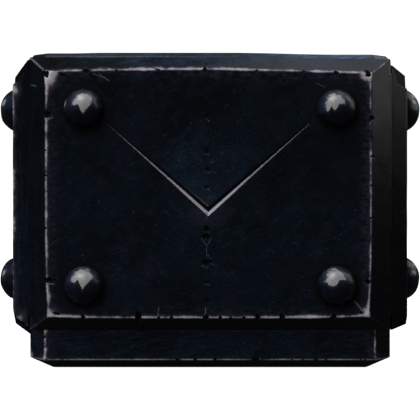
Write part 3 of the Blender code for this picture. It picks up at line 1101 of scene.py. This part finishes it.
def rivet_faces(rings):
    """The faces round the crown's tip, down the rings and round the tail's tip."""
    pairs = [(i, (i + 1) % RIVET_SIDES) for i in range(RIVET_SIDES)]
    faces = [(0, 1 + i, 1 + j) for i, j in pairs]
    for ring in range(rings - 1):
        start, after = 1 + ring * RIVET_SIDES, 1 + (ring + 1) * RIVET_SIDES
        faces += [(start + i, after + i, after + j, start + j) for i, j in pairs]
    last, tip = 1 + (rings - 1) * RIVET_SIDES, 1 + rings * RIVET_SIDES
    return faces + [(last + i, tip, last + j) for i, j in pairs]


def rivet_shape(radius, base, height, inside, number, twist):
    """A rivet's rings about its own axis, softly faceted and hammered.

    Returns u, v, h, the places to read noise at, which places are on the dome, and how many rings there are.
    """
    profile = dome_profile(radius, base, height, inside)
    turn = np.array([2 * math.pi * i / RIVET_SIDES for i in range(RIVET_SIDES)])
    within = (turn + twist) % (2 * math.pi / DOME_FACETS) - math.pi / DOME_FACETS
    flatness = 1.0 - math.cos(math.pi / DOME_FACETS) / np.cos(within)
    places = [(0.0, 0.0, base + height)]
    for ring, (ring_radius, out) in enumerate(profile):
        share = FACETING * smooth_step(ring / DOME_RINGS, 0.1, 0.8) if ring <= DOME_RINGS else 0.0
        reach = ring_radius * (1.0 - share * flatness)
        places += zip(reach * np.cos(turn), reach * np.sin(turn), [out] * RIVET_SIDES)
    places = np.array(places + [(0.0, 0.0, inside - TAIL_HEIGHT)])
    u, v, h = places.T
    local = places + number * RIVET_SHIFT
    dome = h > base + 0.2 * MM
    shrink = 1.0 + np.where(dome, RIVET_WANDER * (ripple(local, 4 * MM, 2) - 0.5), 0.0) / radius
    return u * shrink, v * shrink, np.where(dome, base + (h - base) * shrink, h), local, dome, len(profile)


def make_rivet(plate, node, number, material):
    """A hand-headed rivet: a softly faceted dome, its shank and its peened tail."""
    across, up, radius = plate.rivets[node]
    low, high = plate_box(node, plate.turns)
    base = plate.face_out + GAP
    height = high[2] - base
    draw = random.Random(RIVET_SEED + number)
    twist = draw.uniform(0, math.pi)
    u, v, h, local, dome, rings = rivet_shape(radius, base, height, low[2] + TAIL_HEIGHT, number, twist)

    key = node.removeprefix("rivet_")
    crown = CROWNS.get(key) or SIDE_CROWNS.get(plate.side) or drawn_crown(draw)
    glint = GLINTS.get(key) or GLINTS.get(plate.side)
    ragged = 0.22 * ripple(local, 1.3 * MM, 6)
    fields = {
        "polish_and_highlight": np.where(dome, dome_polish_and_highlight(crown, glint, u, v, ragged), UNMARKED),
        # Painted shade at the dome's foot
        "soot_and_shade": np.where(dome, smooth_step(h, base + 0.12 * height, base), 1.0),
        # A painted reflection on the rim
        "rim": np.where(dome & (plate.side == "front"), rim_reflection(radius, u, v), 0.0),
        # Painted shade on the dome's lower half
        "low": np.where(dome, smooth_step(v / radius, 0.25, -0.55), 0.0),
        "sheet": np.column_stack((u, h, v)) + number * RIVET_SHIFT,
    }
    places = to_world(across + u, up + v, h, plate.turns)
    name = node.replace("rivet", "dome_rivet")
    item = mesh_object(name, places, rivet_faces(rings), fields, material, sharp=40)
    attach(item, "root")
    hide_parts(node)
    return item


# ---------------------------------------------------------------- sleeve


def sleeve_sections():
    """The ring at each bend of the sleeve's profile as (half width, corner cut, z), all the way round."""
    _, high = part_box("sleeve")
    half, top = high.x, high.z
    inner = half - SLEEVE_SHEET
    turn_in = half - LIP_IN
    mouth = turn_in - LIP_FOOT
    return np.array([
        (turn_in, LIP_CUT, 0.0), (half, SLEEVE_CUT, LIP_RISE), (half, SLEEVE_CUT, top - TOP_BEVEL_DROP),
        (half - TOP_BEVEL_IN, TOP_CUT, top), (inner, TOP_CUT, top), (inner, TOP_CUT, LIP_RISE + LIP_THICK),
        (mouth, LIP_CUT, LIP_THICK), (mouth, LIP_CUT, 0.0),
    ])


def sleeve_rows():
    """The profile's rows: each bend rounded, close together where the sleeve shows."""
    sections = sleeve_sections()
    runs = np.roll(sections, -1, axis=0) - sections
    lengths = np.linalg.norm(runs, axis=1)
    reaches = np.minimum(BEND_REACH, 0.3 * np.minimum(lengths, np.roll(lengths, 1)))
    leaving = runs / lengths[:, None] * reaches[:, None]
    arriving = np.roll(runs / lengths[:, None], 1, axis=0) * reaches[:, None]
    starts, ends = sections - arriving, sections + leaving
    rows = []
    for i, (start, bend, end) in enumerate(zip(starts, sections, ends)):
        for share in (0.0, 0.25, 0.5, 0.75, 1.0):
            rows.append((1 - share) ** 2 * start + 2 * share * (1 - share) * bend + share ** 2 * end)
        straight = starts[(i + 1) % len(starts)] - end
        length = np.linalg.norm(straight)
        breaks, spacings = [0.0, 1.0], [INNER_SPACING if i == INNER_FACE else ROW_SPACING]
        if i == OUTER_FACE:
            breaks = [0.0, SHOWN_FOOT / length, 1.0 - SHOWN_TOP / length, 1.0]
            spacings = OUTER_SPACINGS
        for a, b, spacing in zip(breaks, breaks[1:], spacings):
            steps = max(1, math.ceil((b - a) * length / spacing))
            rows += [end + straight * (a + (b - a) * step / steps) for step in range(1, steps + 1)]
        rows.pop()
    return rows


def sleeve_ring(half, cut):
    """Points round a clipped square, close together by its corners."""
    corners = clipped_outline(-half, half, -half, half, cut)
    points = []
    near, middle, fine, coarse = 0.06, 60, 14, 10
    for side, (start, end) in enumerate(zip(corners, corners[1:] + corners[:1])):
        if side % 2:
            shares = [step / coarse for step in range(coarse)]
        else:
            shares = [near * step / fine for step in range(fine)]
            shares += [near + (1 - 2 * near) * step / middle for step in range(middle)]
            shares += [1 - near + near * step / fine for step in range(fine)]
        points += [(start[0] + (end[0] - start[0]) * s, start[1] + (end[1] - start[1]) * s) for s in shares]
    return np.array(points)


def drawn_nicks(seed):
    """Small chips along the sleeve's upright edges and the band's lower edge: place and size."""
    draw = random.Random(seed)
    _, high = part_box("sleeve")
    half = high.x
    inner = half - SLEEVE_CUT
    nicks = []
    for sign_x in (-1, 1):
        for sign_y in (-1, 1):
            for x, y in ((half, inner), (inner, half)):
                for _ in range(7):
                    top = NICKS_TOP if draw.random() < 0.4 else 15 * MM
                    z = draw.uniform(LIP_RISE, top)
                    nicks.append((sign_x * x, sign_y * y, z, draw.uniform(0.25, 0.55) * MM))
    for turns in range(4):
        for _ in range(16):
            x, y = draw.uniform(-inner, inner), -half
            for _ in range(turns):
                x, y = -y, x
            nicks.append((x, y, LIP_RISE, draw.uniform(0.4, 1.1) * MM))
    return nicks


def sleeve_tube():
    """The square tube's places and faces, with its corners eased."""
    rows = sleeve_rows()
    places = []
    for half, cut, z in rows:
        ring = sleeve_ring(half, cut)
        size = np.abs(ring)
        to_flat = half - size.max(axis=1)
        to_cut = (2 * half - cut - size.sum(axis=1)) / math.sqrt(2)
        apart = np.abs(to_flat - to_cut)
        blend = min(CORNER_BLEND, 0.6 * cut)
        ease = 0.25 * blend * np.clip(1 - apart / blend, 0, 1) ** 2
        ring = ring * (1 - ease / np.linalg.norm(ring, axis=1))[:, None]
        places.append(np.column_stack((ring, np.full(len(ring), z))))
    around = len(places[0])
    faces = []
    for row in range(len(rows)):
        start, after = row * around, (row + 1) % len(rows) * around
        for i in range(around):
            j = (i + 1) % around
            faces.append((start + i, start + j, after + j, after + i))
    return np.concatenate(places), faces


def make_sleeve(material):
    """The square tube, dented and nicked, with a hole for each shank."""
    places, faces = sleeve_tube()
    _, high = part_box("sleeve")
    outer = np.abs(places[:, :2]).max(axis=1) > high.x - 0.5 * SLEEVE_SHEET
    outer |= np.abs(places[:, :2]).sum(axis=1) > 2 * high.x - SLEEVE_CUT - 0.5 * SLEEVE_SHEET
    pit = np.full(len(places), UNMARKED)
    inward = np.zeros(len(places))
    wobble = 0.5 * ripple(places, 0.9 * MM, 4)
    for x, y, z, size in drawn_nicks(77):
        near = np.flatnonzero((np.abs(places - (x, y, z)) < 3 * MM).all(axis=1))
        level = 1 - np.linalg.norm(places[near] - (x, y, z), axis=1) / size + wobble[near]
        pit[near] = np.maximum(pit[near], level)
        inward[near] = np.maximum(inward[near], 0.4 * size * smooth_step(level, 0.0, 0.9))
    dents = -0.08 * MM * ripple(places, 13 * MM, 9)
    inward = np.where(outer, inward + dents, 0.0)
    reach = np.linalg.norm(places[:, :2], axis=1)
    places[:, :2] *= (1 - inward / reach)[:, None]
    fields = sleeve_fields(places, pit)
    x, y, z = places.T
    at_front = smooth_step(-y, 20 * MM, 50 * MM) * smooth_step(z, high.z - 4 * MM, high.z - 2 * MM)
    sag = RIM_SAG * smooth_step(x, 8 * MM, 45 * MM) + 0.2 * MM * smooth_step(-x, 38 * MM, 50 * MM)
    places[:, 2] -= sag * at_front
    item = mesh_object("square_sleeve", places, faces, fields, material)
    drill(item)
    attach(item, "root")
    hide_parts("sleeve")
    return item


class Half(NamedTuple):
    """One half of the sleeve: how rubbed its upright edges and its foot's corners are, how far in mm that
    fades over the face, and how light its cut corners are: painted shade darkens those of the right half."""
    upright: float
    corner: float
    fade: float
    tone_and_shading: float


LEFT_HALF, RIGHT_HALF = Half(0.90, 0.95, 1.2, 1.3), Half(0.52, 0.55, 0.6, 0.7)


def sleeve_fields(places, pit):
    """Wear along the sleeve's edges, by distance from them in mm."""
    _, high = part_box("sleeve")
    half, top = high.x, high.z
    x, y, z = places.T
    total, larger = np.abs(x) + np.abs(y), np.maximum(np.abs(x), np.abs(y))
    faces_y = np.abs(y) > np.abs(x)
    along = np.where(faces_y, np.abs(x), np.abs(y))
    inset = np.minimum(half - larger, (2 * half - SLEEVE_CUT - total) / math.sqrt(2)) / MM
    on_flat = total < 2 * half - SLEEVE_CUT - 0.1 * MM
    to_corner = (half - SLEEVE_CUT - along) / MM
    above = (z - LIP_RISE) / MM
    swell = 0.8 * ripple(places, 6 * MM, 12) + 0.5 * ripple(places, 1.7 * MM, 15)
    rim = smooth_step(z, top - TOP_BEVEL_DROP - 1.2 * MM, top - TOP_BEVEL_DROP)
    upright, corner, fade, chamfer = np.where((x < 0)[:, None], LEFT_HALF, RIGHT_HALF).T
    upright = upright + swell
    upright -= np.where(on_flat, np.maximum(to_corner - 0.2, 0) / fade, -to_corner / 0.35)
    upright -= np.where(faces_y, 0.0, 0.55) + 2.0 * smooth_step(z, LIP_RISE, LIP_RISE - 1 * MM) + 4.0 * rim
    lower = 0.86 + 0.7 * swell - np.where(above > 0, above / 0.50, -above / 0.25) - 0.5 * (inset > 0.5)
    under_plate = 0.40 + 0.7 * swell - np.abs(z - PLATE_FOOT) / (0.28 * MM) - 4.0 * ~(on_flat & faces_y)
    bevel_top = 0.05 + swell - np.hypot((z - top) / MM, inset - TOP_BEVEL_IN / MM) / 0.5
    corner = corner + swell - np.hypot(to_corner, above) / 1.9 - 3.0 * (above < -0.3)
    foot = smooth_step(above, -0.2, -1.0)
    # Painted shade: the right half's cut corners are darker
    ground = np.where(on_flat, FLAT_TONE, chamfer)
    return {
        "wear": np.maximum.reduce([upright, lower, under_plate, bevel_top, corner]),
        "pit": pit, "mark": np.full(len(places), UNMARKED),
        # Painted sheen on the top rim, lighter towards the right
        "tone_and_shading": ground + rim * (2.4 + 10.0 * smooth_step(x, 0, 45 * MM)),
        # Painted shade on the foot lip, which faces down
        "soot_and_shade": foot, "foot": foot,
        "upright": np.zeros(len(places)), "level": np.ones(len(places)),
        "haze_u": np.where(on_flat & faces_y, np.clip(1.0 - np.abs(to_corner) / 5.0, 0, 1), 0.0),
        "haze_v": 0.5 * np.clip(1.0 - np.abs(above) / 3.0, 0, 1) * on_flat,
        "sheet": places.copy(),
    }


def drill(item):
    """Cuts the shanks' holes through the sleeve."""
    places, faces = [], []
    for side in PLATES:
        plate = Plate(side)
        for across, up, _ in plate.rivets.values():
            start, after = len(places), len(places) + HOLE_SIDES
            u, v = np.array(circle((across, up), HOLE_RADIUS, HOLE_SIDES)).T
            for h in (plate.face_out, 0.8 * plate.base_out):
                places += list(to_world(u, v, [h] * HOLE_SIDES, plate.turns))
            for i in range(HOLE_SIDES):
                j = (i + 1) % HOLE_SIDES
                faces.append((start + i, after + i, after + j, start + j))
            faces.append(tuple(start + i for i in range(HOLE_SIDES)))
            faces.append(tuple(after + i for i in reversed(range(HOLE_SIDES))))
    mesh = bpy.data.meshes.new("shank_holes")
    mesh.from_pydata([tuple(place) for place in places], [], faces)
    cutter = bpy.data.objects.new("shank_holes", mesh)
    bpy.context.scene.collection.objects.link(cutter)
    cut = item.modifiers.new("shank_holes", "BOOLEAN")
    cut.operation = "DIFFERENCE"
    cut.solver = "EXACT"
    cut.object = cutter
    bpy.context.view_layer.update()
    evaluated = item.evaluated_get(bpy.context.evaluated_depsgraph_get())
    drilled = bpy.data.meshes.new_from_object(evaluated)
    item.modifiers.clear()
    item.data = drilled
    bpy.data.objects.remove(cutter, do_unlink=True)


# ---------------------------------------------------------------- materials


class Shade:
    """Builds one material's nodes."""

    def __init__(self, name):
        self.material = bpy.data.materials.new(name)
        self.material.use_nodes = True
        self.tree = self.material.node_tree
        self.shader = self.tree.nodes["Principled BSDF"]

    def node(self, kind, inputs=None, **settings):
        made = self.tree.nodes.new(kind)
        for key, value in settings.items():
            setattr(made, key, value)
        for key, value in (inputs or {}).items():
            self.put(value, made.inputs[key])
        return made

    def put(self, value, socket):
        if isinstance(value, bpy.types.NodeSocket):
            self.tree.links.new(value, socket)
        else:
            socket.default_value = value

    def field(self, name):
        return self.node("ShaderNodeAttribute", attribute_name=name).outputs["Fac"]

    def scaled(self, wavelengths, turn=(0.0, 0.0, 0.0), shift=(0.0, 0.0, 0.0)):
        """The sheet's coordinates, turned, with one unit for each wavelength in mm."""
        sheet = self.node("ShaderNodeAttribute", attribute_name="sheet").outputs["Vector"]
        turned = self.node("ShaderNodeMapping", {"Vector": sheet, "Rotation": turn, "Location": shift})
        scale = tuple(1.0 / (wavelength * MM) for wavelength in wavelengths)
        return self.node("ShaderNodeMapping", {"Vector": turned.outputs[0], "Scale": scale}).outputs[0]

    def noise(self, wavelengths, detail=2.0, roughness=0.5, turn=(0.0, 0.0, 0.0), shift=(0.0, 0.0, 0.0)):
        made = self.node("ShaderNodeTexNoise", {
            "Vector": self.scaled(wavelengths, turn, shift), "Scale": 1.0, "Detail": detail,
            "Roughness": roughness,
        })
        return made.outputs["Fac"]

    def maths(self, operation, a, b):
        return self.node("ShaderNodeMath", {0: a, 1: b}, operation=operation).outputs[0]

    def product(self, a, b):
        return self.maths("MULTIPLY", a, b)

    def total(self, a, b):
        return self.maths("ADD", a, b)

    def larger(self, a, b):
        return self.maths("MAXIMUM", a, b)

    def ragged(self, value, noise, gain):
        """A value with a noise's swing about its middle added."""
        return self.total(value, self.product(self.maths("SUBTRACT", noise, 0.5), gain))

    def step(self, value, low, high, to_low=0.0, to_high=1.0):
        """A smooth rise between two values."""
        made = self.node("ShaderNodeMapRange", {
            "Value": value, "From Min": low, "From Max": high, "To Min": to_low, "To Max": to_high,
        }, interpolation_type="SMOOTHSTEP")
        return made.outputs[0]

    def mix(self, factor, a, b):
        """A colour between two colours."""
        made = self.node("ShaderNodeMix", {"Factor": factor, 6: a, 7: b}, data_type="RGBA")
        return made.outputs[2]

    def blend(self, factor, a, b):
        """A value between two values."""
        made = self.node("ShaderNodeMix", {"Factor": factor, 2: a, 3: b}, data_type="FLOAT")
        return made.outputs[0]

    def times(self, tint, factor):
        """A colour made darker or lighter."""
        return self.node("ShaderNodeVectorMath", {0: tint, "Scale": factor}, operation="SCALE").outputs[0]

    def finish(self, paint, roughness, soot_and_shade, height, strength, distance):
        """Joins the looks to the shader: sooty and shaded places shine less, and the bump's distance is in
        mm.
        """
        bump = self.node("ShaderNodeBump", {
            "Height": height, "Strength": strength, "Distance": distance * MM,
        })
        self.put(paint, self.shader.inputs["Base Color"])
        self.put(roughness, self.shader.inputs["Roughness"])
        self.put(self.blend(soot_and_shade, 0.5, 0.06), self.shader.inputs["Specular IOR Level"])
        self.put(bump.outputs[0], self.shader.inputs["Normal"])
        return self.material


def colour(red, green, blue):
    return (red, green, blue, 1.0)


NAVY_DARK = colour(0.0024, 0.0044, 0.0084)
NAVY = colour(0.0040, 0.0079, 0.0152)
TEAL = colour(0.0038, 0.0112, 0.0205)
VIOLET = colour(0.0085, 0.0080, 0.0185)
SCRATCH = colour(0.022, 0.045, 0.085)
# Soot in the pits, also used as painted shade round the rivets, in the V and on the walls; then the lighter
# painted shade at the foot
SOOT_AND_SHADE = colour(0.0058, 0.0058, 0.0060)
FOOT_SHADE = colour(0.0175, 0.0172, 0.0172)
WEAR_FAINT = colour(0.033, 0.030, 0.050)
WEAR_PINK = colour(0.180, 0.160, 0.215)
WEAR_PALE = colour(0.58, 0.56, 0.62)
WEAR_WHITE = colour(0.93, 0.91, 0.94)
# The rubbed crown of a rivet, bright also as a painted highlight
RUBBED_STEEL_AND_HIGHLIGHT = colour(0.56, 0.555, 0.56)
SCORED = colour(0.150, 0.165, 0.225)
RIVET_DARK = colour(0.0045, 0.0080, 0.0150)
RIVET_VIOLET = colour(0.0130, 0.0130, 0.0270)
# A painted reflection on a front dome's rim, then the crown's fringe, rubbed and painted as its sheen
RIVET_RIM_REFLECTION = colour(0.038, 0.038, 0.040)
RUBBED_SHEEN_FAINT = colour(0.018, 0.030, 0.058)
RUBBED_SHEEN = colour(0.070, 0.092, 0.150)


class Hair(NamedTuple):
    """A layer of hair scratches: its wavelengths in mm, its lean in radians, and the noise's shift."""
    wavelengths: tuple[float, float, float]
    lean: float
    shift: float


HAIRS = (
    Hair((5.0, 3.0, 0.35), 0.60, 0.2), Hair((4.0, 3.0, 0.32), -0.75, 0.5),
    Hair((6.0, 3.0, 0.34), 0.35, 0.8), Hair((2.2, 3.0, 0.45), 0.50, 0.1), Hair((2.0, 3.0, 0.42), -0.30, 0.6),
)


def hair_lines(shade):
    """Fine scratches in patches."""
    lines = 0.0
    for hair in HAIRS:
        fine = shade.noise(hair.wavelengths, detail=1, turn=(0.0, hair.lean, 0.0), shift=(hair.shift,) * 3)
        patch = shade.noise((7, 7, 7), detail=1, shift=(hair.shift, 0.3, hair.shift))
        line = shade.product(shade.step(fine, 0.64, 0.76), shade.step(patch, 0.48, 0.62))
        lines = shade.larger(lines, line)
    return lines


def fleck_spots(shade):
    """Small flecks, at some of the cells' middles."""
    cells = shade.node("ShaderNodeTexVoronoi", {
        "Vector": shade.scaled((4.6, 4.6, 2.9), turn=(0.0, 0.5, 0.0)), "Scale": 1.0,
    }).outputs
    drawn = shade.node("ShaderNodeSeparateColor", {"Color": cells["Color"]}).outputs[0]
    return shade.product(shade.step(cells["Distance"], 0.12, 0.05), shade.step(drawn, 0.50, 0.80))


def blackened(shade, streak_gain):
    """The blackened ground, mottled navy with streaks and tiny scratches, scaled by a tone that carries
    painted light and shade: colour, height and mottle.
    """
    broad = shade.noise((17, 17, 13), detail=3)
    small = shade.noise((4.5, 4.5, 4.0), detail=3, shift=(0.4, 0.1, 0.2))
    tint = shade.noise((9, 9, 8), detail=2, shift=(0.2, 0.5, 0.9))
    grain = shade.noise((0.7, 0.7, 0.7), detail=2)
    uprights = shade.noise((0.8, 0.8, 24.0), detail=3, shift=(0.3, 0.0, 0.0))
    levels = shade.noise((7.0, 7.0, 0.7), detail=3, turn=(0.0, 0.12, 0.0), shift=(0.0, 0.0, 0.3))
    streaks = shade.total(
        shade.product(uprights, shade.field("upright")), shade.product(levels, shade.field("level")),
    )
    lines = hair_lines(shade)
    ground = NAVY_DARK
    for share, laid in (
        (shade.step(broad, 0.38, 0.62), NAVY),
        (shade.step(small, 0.50, 0.70, 0.0, 0.7), TEAL),
        (shade.step(tint, 0.56, 0.72, 0.0, 0.6), VIOLET),
        (shade.step(grain, 0.58, 0.76, 0.0, 0.35), SCRATCH),
        (shade.step(streaks, 0.50, 0.72, 0.0, streak_gain), SCRATCH),
        (shade.product(lines, 0.42), SCRATCH),
        (shade.product(fleck_spots(shade), 0.8), SCRATCH),
    ):
        ground = shade.mix(share, ground, laid)
    height = shade.maths("SUBTRACT", shade.product(grain, 0.5), shade.product(lines, 0.8))
    height = shade.total(height, shade.product(streaks, 0.6))
    return shade.times(ground, shade.field("tone_and_shading")), height, small


def worn_iron(name, streak_gain=0.3):
    """Blackened iron whose edges are rubbed down to pinkish bare metal, with soot in the pits and painted
    shade on the walls, in the V and round the rivets.
    """
    shade = Shade(name)
    ground, height, small = blackened(shade, streak_gain)
    fine = shade.noise((0.8, 0.8, 0.8), detail=3, roughness=0.6, shift=(0.7, 0.2, 0.4))
    across = shade.noise((3.0, 3.0, 1.4), detail=2, roughness=0.6, shift=(0.2, 0.3, 0.4))
    upwards = shade.noise((4.0, 4.0, 2.0), detail=2, roughness=0.6, shift=(0.9, 0.3, 0.4))
    feather = shade.larger(
        shade.product(shade.field("haze_u"), shade.step(across, 0.35, 0.66)),
        shade.product(shade.field("haze_v"), shade.step(upwards, 0.42, 0.66, 0.0, 0.8)),
    )
    wear = shade.ragged(shade.field("wear"), fine, 1.0)
    mark = shade.ragged(shade.field("mark"), fine, 1.3)
    haze = shade.product(shade.step(wear, -0.9, 0.2), shade.step(small, 0.30, 0.60, 0.35, 0.95))
    bare = shade.step(wear, 0.35, 0.90)
    # Soot in the pits, and painted shade
    soot_and_shade = shade.larger(shade.step(shade.field("pit"), -0.05, 0.18), shade.field("soot_and_shade"))
    paint = ground
    for share, laid in (
        (shade.larger(haze, shade.product(feather, 0.9)), WEAR_FAINT),
        (shade.step(wear, 0.05, 0.50), WEAR_PINK), (bare, WEAR_PALE),
        (shade.step(wear, 0.95, 1.45), WEAR_WHITE), (shade.step(mark, 0.0, 0.8), SCORED),
        # Soot and painted shade, lighter at the foot
        (soot_and_shade, shade.mix(shade.field("foot"), SOOT_AND_SHADE, FOOT_SHADE)),
    ):
        paint = shade.mix(share, paint, laid)
    rough = shade.blend(shade.step(small, 0.3, 0.7), 0.27, 0.34)
    rough = shade.blend(bare, rough, 0.50)
    rough = shade.blend(soot_and_shade, rough, 0.75)
    height = shade.total(height, shade.product(fine, shade.product(bare, 0.8)))
    shade.shader.inputs["Metallic"].default_value = 0.0
    shade.shader.inputs["IOR"].default_value = 1.5
    return shade.finish(paint, rough, soot_and_shade, height, 0.35, 0.05)


def rivet_iron(name):
    """Dark iron with the crown rubbed bright and painted with a highlight, a painted reflection on the rim
    and painted shade below.
    """
    shade = Shade(name)
    small = shade.noise((2.4, 2.4, 2.4), detail=3)
    fine = shade.noise((0.7, 0.7, 0.7), detail=4, roughness=0.6, shift=(0.3, 0.3, 0.1))
    polish_and_highlight = shade.ragged(shade.field("polish_and_highlight"), fine, 0.4)
    bright = shade.step(polish_and_highlight, 0.02, 0.20)
    # Painted shade at the dome's foot
    soot_and_shade = shade.product(shade.field("soot_and_shade"), 0.9)
    paint = shade.mix(shade.step(small, 0.35, 0.68), RIVET_DARK, RIVET_VIOLET)
    # Painted shade: the dome's lower half darker
    paint = shade.times(paint, shade.step(shade.field("low"), 0.0, 1.0, 1.15, 0.60))
    for share, laid in (
        # A painted reflection on the rim, then the crown's fringe and patch, rubbed and painted as a
        # highlight
        (shade.product(shade.field("rim"), 0.9), RIVET_RIM_REFLECTION),
        (shade.step(polish_and_highlight, -0.90, -0.10, 0.0, 0.8), RUBBED_SHEEN_FAINT),
        (shade.step(polish_and_highlight, -0.22, 0.08, 0.0, 0.9), RUBBED_SHEEN),
        (bright, RUBBED_STEEL_AND_HIGHLIGHT), (soot_and_shade, SOOT_AND_SHADE),
    ):
        paint = shade.mix(share, paint, laid)
    shade.put(shade.product(bright, 0.20), shade.shader.inputs["Metallic"])
    height = shade.total(shade.product(fine, 0.5), small)
    return shade.finish(paint, shade.blend(bright, 0.30, 0.36), soot_and_shade, height, 0.25, 0.08)


# ---------------------------------------------------------------- stage


CAMERA_BACK = 395.3 * MM            # from the front face
CAMERA_HEIGHT = 69.3 * MM
CAMERA_SHIFT = -0.0775              # the photograph's uprights are parallel, its horizon above the middle
CAMERA_LENS = 96.3
SENSOR = 36.0

# The world's strength to glossy rays, to diffuse ones and to the camera
WORLD = ((None, 0.024), ("Is Diffuse Ray", 0.11), ("Is Camera Ray", 1.1))
FLOOR_REACH, FLOOR_DROP = 8.0, 0.1 * MM


def soft_light(name, place, target, size, radiance, tint=(1.0, 1.0, 1.0), shows=("diffuse", "glossy")):
    """A rectangular soft light aimed at a point. Radiance is what a mirror would show."""
    lamp = bpy.data.lights.new(name, "AREA")
    lamp.shape = "RECTANGLE"
    lamp.size, lamp.size_y = size
    lamp.energy = radiance * math.pi * size[0] * size[1]
    lamp.color = tint
    item = bpy.data.objects.new(name, lamp)
    item.location = place
    item.rotation_euler = (Vector(target) - Vector(place)).to_track_quat("-Z", "Y").to_euler()
    item.visible_camera = False
    item.visible_diffuse = "diffuse" in shows
    item.visible_glossy = "glossy" in shows
    bpy.context.scene.collection.objects.link(item)
    return item


def make_lights():
    """A soft front light and a key from the left, softboxes for the iron's sheen, and fills behind."""
    soft_light("front", (-0.64, -0.70, 0.50), (0.0, -0.07, 0.05), (0.50, 0.50), 3.4, shows=("diffuse",))
    soft_light("key", (-0.22, -0.40, 0.72), (0.0, -0.07, 0.06), (0.36, 0.36), 3.2)
    soft_light(
        "overhead", (0.41, 0.10, 0.62), (0.41, 0.10, 0.0), (0.74, 0.70), 0.66, (1.0, 0.98, 0.94), ("glossy",),
    )
    soft_light("right", (0.34, 0.01, 0.29), (0.0, 0.01, 0.29), (0.32, 0.36), 0.85, shows=("glossy",))
    for name, across in (("right_back_fill", 0.50), ("left_back_fill", -0.50)):
        soft_light(name, (across, 0.50, 0.50), (0.0, 0.0, 0.06), (0.35, 0.35), 3.0, shows=("diffuse",))


def make_world():
    """White behind the object, a little light all round, and dark in what the iron mirrors."""
    world = bpy.data.worlds.new("studio")
    world.use_nodes = True
    nodes, links = world.node_tree.nodes, world.node_tree.links
    nodes.clear()
    path = nodes.new("ShaderNodeLightPath")
    shader = None
    for ray, strength in WORLD:
        background = nodes.new("ShaderNodeBackground")
        background.inputs["Color"].default_value = colour(1.0, 1.0, 1.0)
        background.inputs["Strength"].default_value = strength
        if shader is None:
            shader = background.outputs[0]
            continue
        mix = nodes.new("ShaderNodeMixShader")
        links.new(path.outputs[ray], mix.inputs[0])
        links.new(shader, mix.inputs[1])
        links.new(background.outputs[0], mix.inputs[2])
        shader = mix.outputs[0]
    out = nodes.new("ShaderNodeOutputWorld")
    links.new(shader, out.inputs[0])
    bpy.context.scene.world = world


def make_floor():
    """A plain pale floor, bright enough to meet the background without a line."""
    mesh = bpy.data.meshes.new("floor")
    corners = [(-1, -1), (1, -1), (1, 1), (-1, 1)]
    places = [(x * FLOOR_REACH, y * FLOOR_REACH, -FLOOR_DROP) for x, y in corners]
    mesh.from_pydata(places, [], [(0, 1, 2, 3)])
    material = bpy.data.materials.new("floor")
    material.use_nodes = True
    shader = material.node_tree.nodes["Principled BSDF"]
    shader.inputs["Base Color"].default_value = colour(0.6, 0.6, 0.6)
    shader.inputs["Roughness"].default_value = 0.9
    shader.inputs["Specular IOR Level"].default_value = 0.0
    shader.inputs["Emission Color"].default_value = colour(1.0, 1.0, 1.0)
    shader.inputs["Emission Strength"].default_value = 1.05
    mesh.materials.append(material)
    floor = bpy.data.objects.new("floor", mesh)
    floor.visible_diffuse = False
    floor.visible_glossy = False
    bpy.context.scene.collection.objects.link(floor)


def make_camera():
    """A level camera in front of the chased plate."""
    lens = bpy.data.cameras.new("camera")
    lens.lens = CAMERA_LENS
    lens.sensor_width = SENSOR
    lens.shift_y = CAMERA_SHIFT
    lens.clip_start = 0.01
    camera = bpy.data.objects.new("camera", lens)
    front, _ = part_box("plate_front")
    camera.location = (0.0, front.y - CAMERA_BACK, CAMERA_HEIGHT)
    camera.rotation_euler = (math.radians(90), 0.0, 0.0)
    bpy.context.scene.collection.objects.link(camera)
    bpy.context.scene.camera = camera


def main():
    bpy.context.scene.view_settings.view_transform = "Standard"
    make_camera()
    make_world()
    make_floor()
    make_lights()
    plate_iron = worn_iron("plate_iron_worn_and_shaded")
    rivets = rivet_iron("rivet_polished_iron")
    number = 0
    for side in PLATES:
        plate = Plate(side)
        make_plate(plate, plate_iron)
        for node in plate.rivets:
            make_rivet(plate, node, number, rivets)
            number += 1
    make_sleeve(worn_iron("sleeve_iron_worn_and_shaded", streak_gain=0.25))


main()
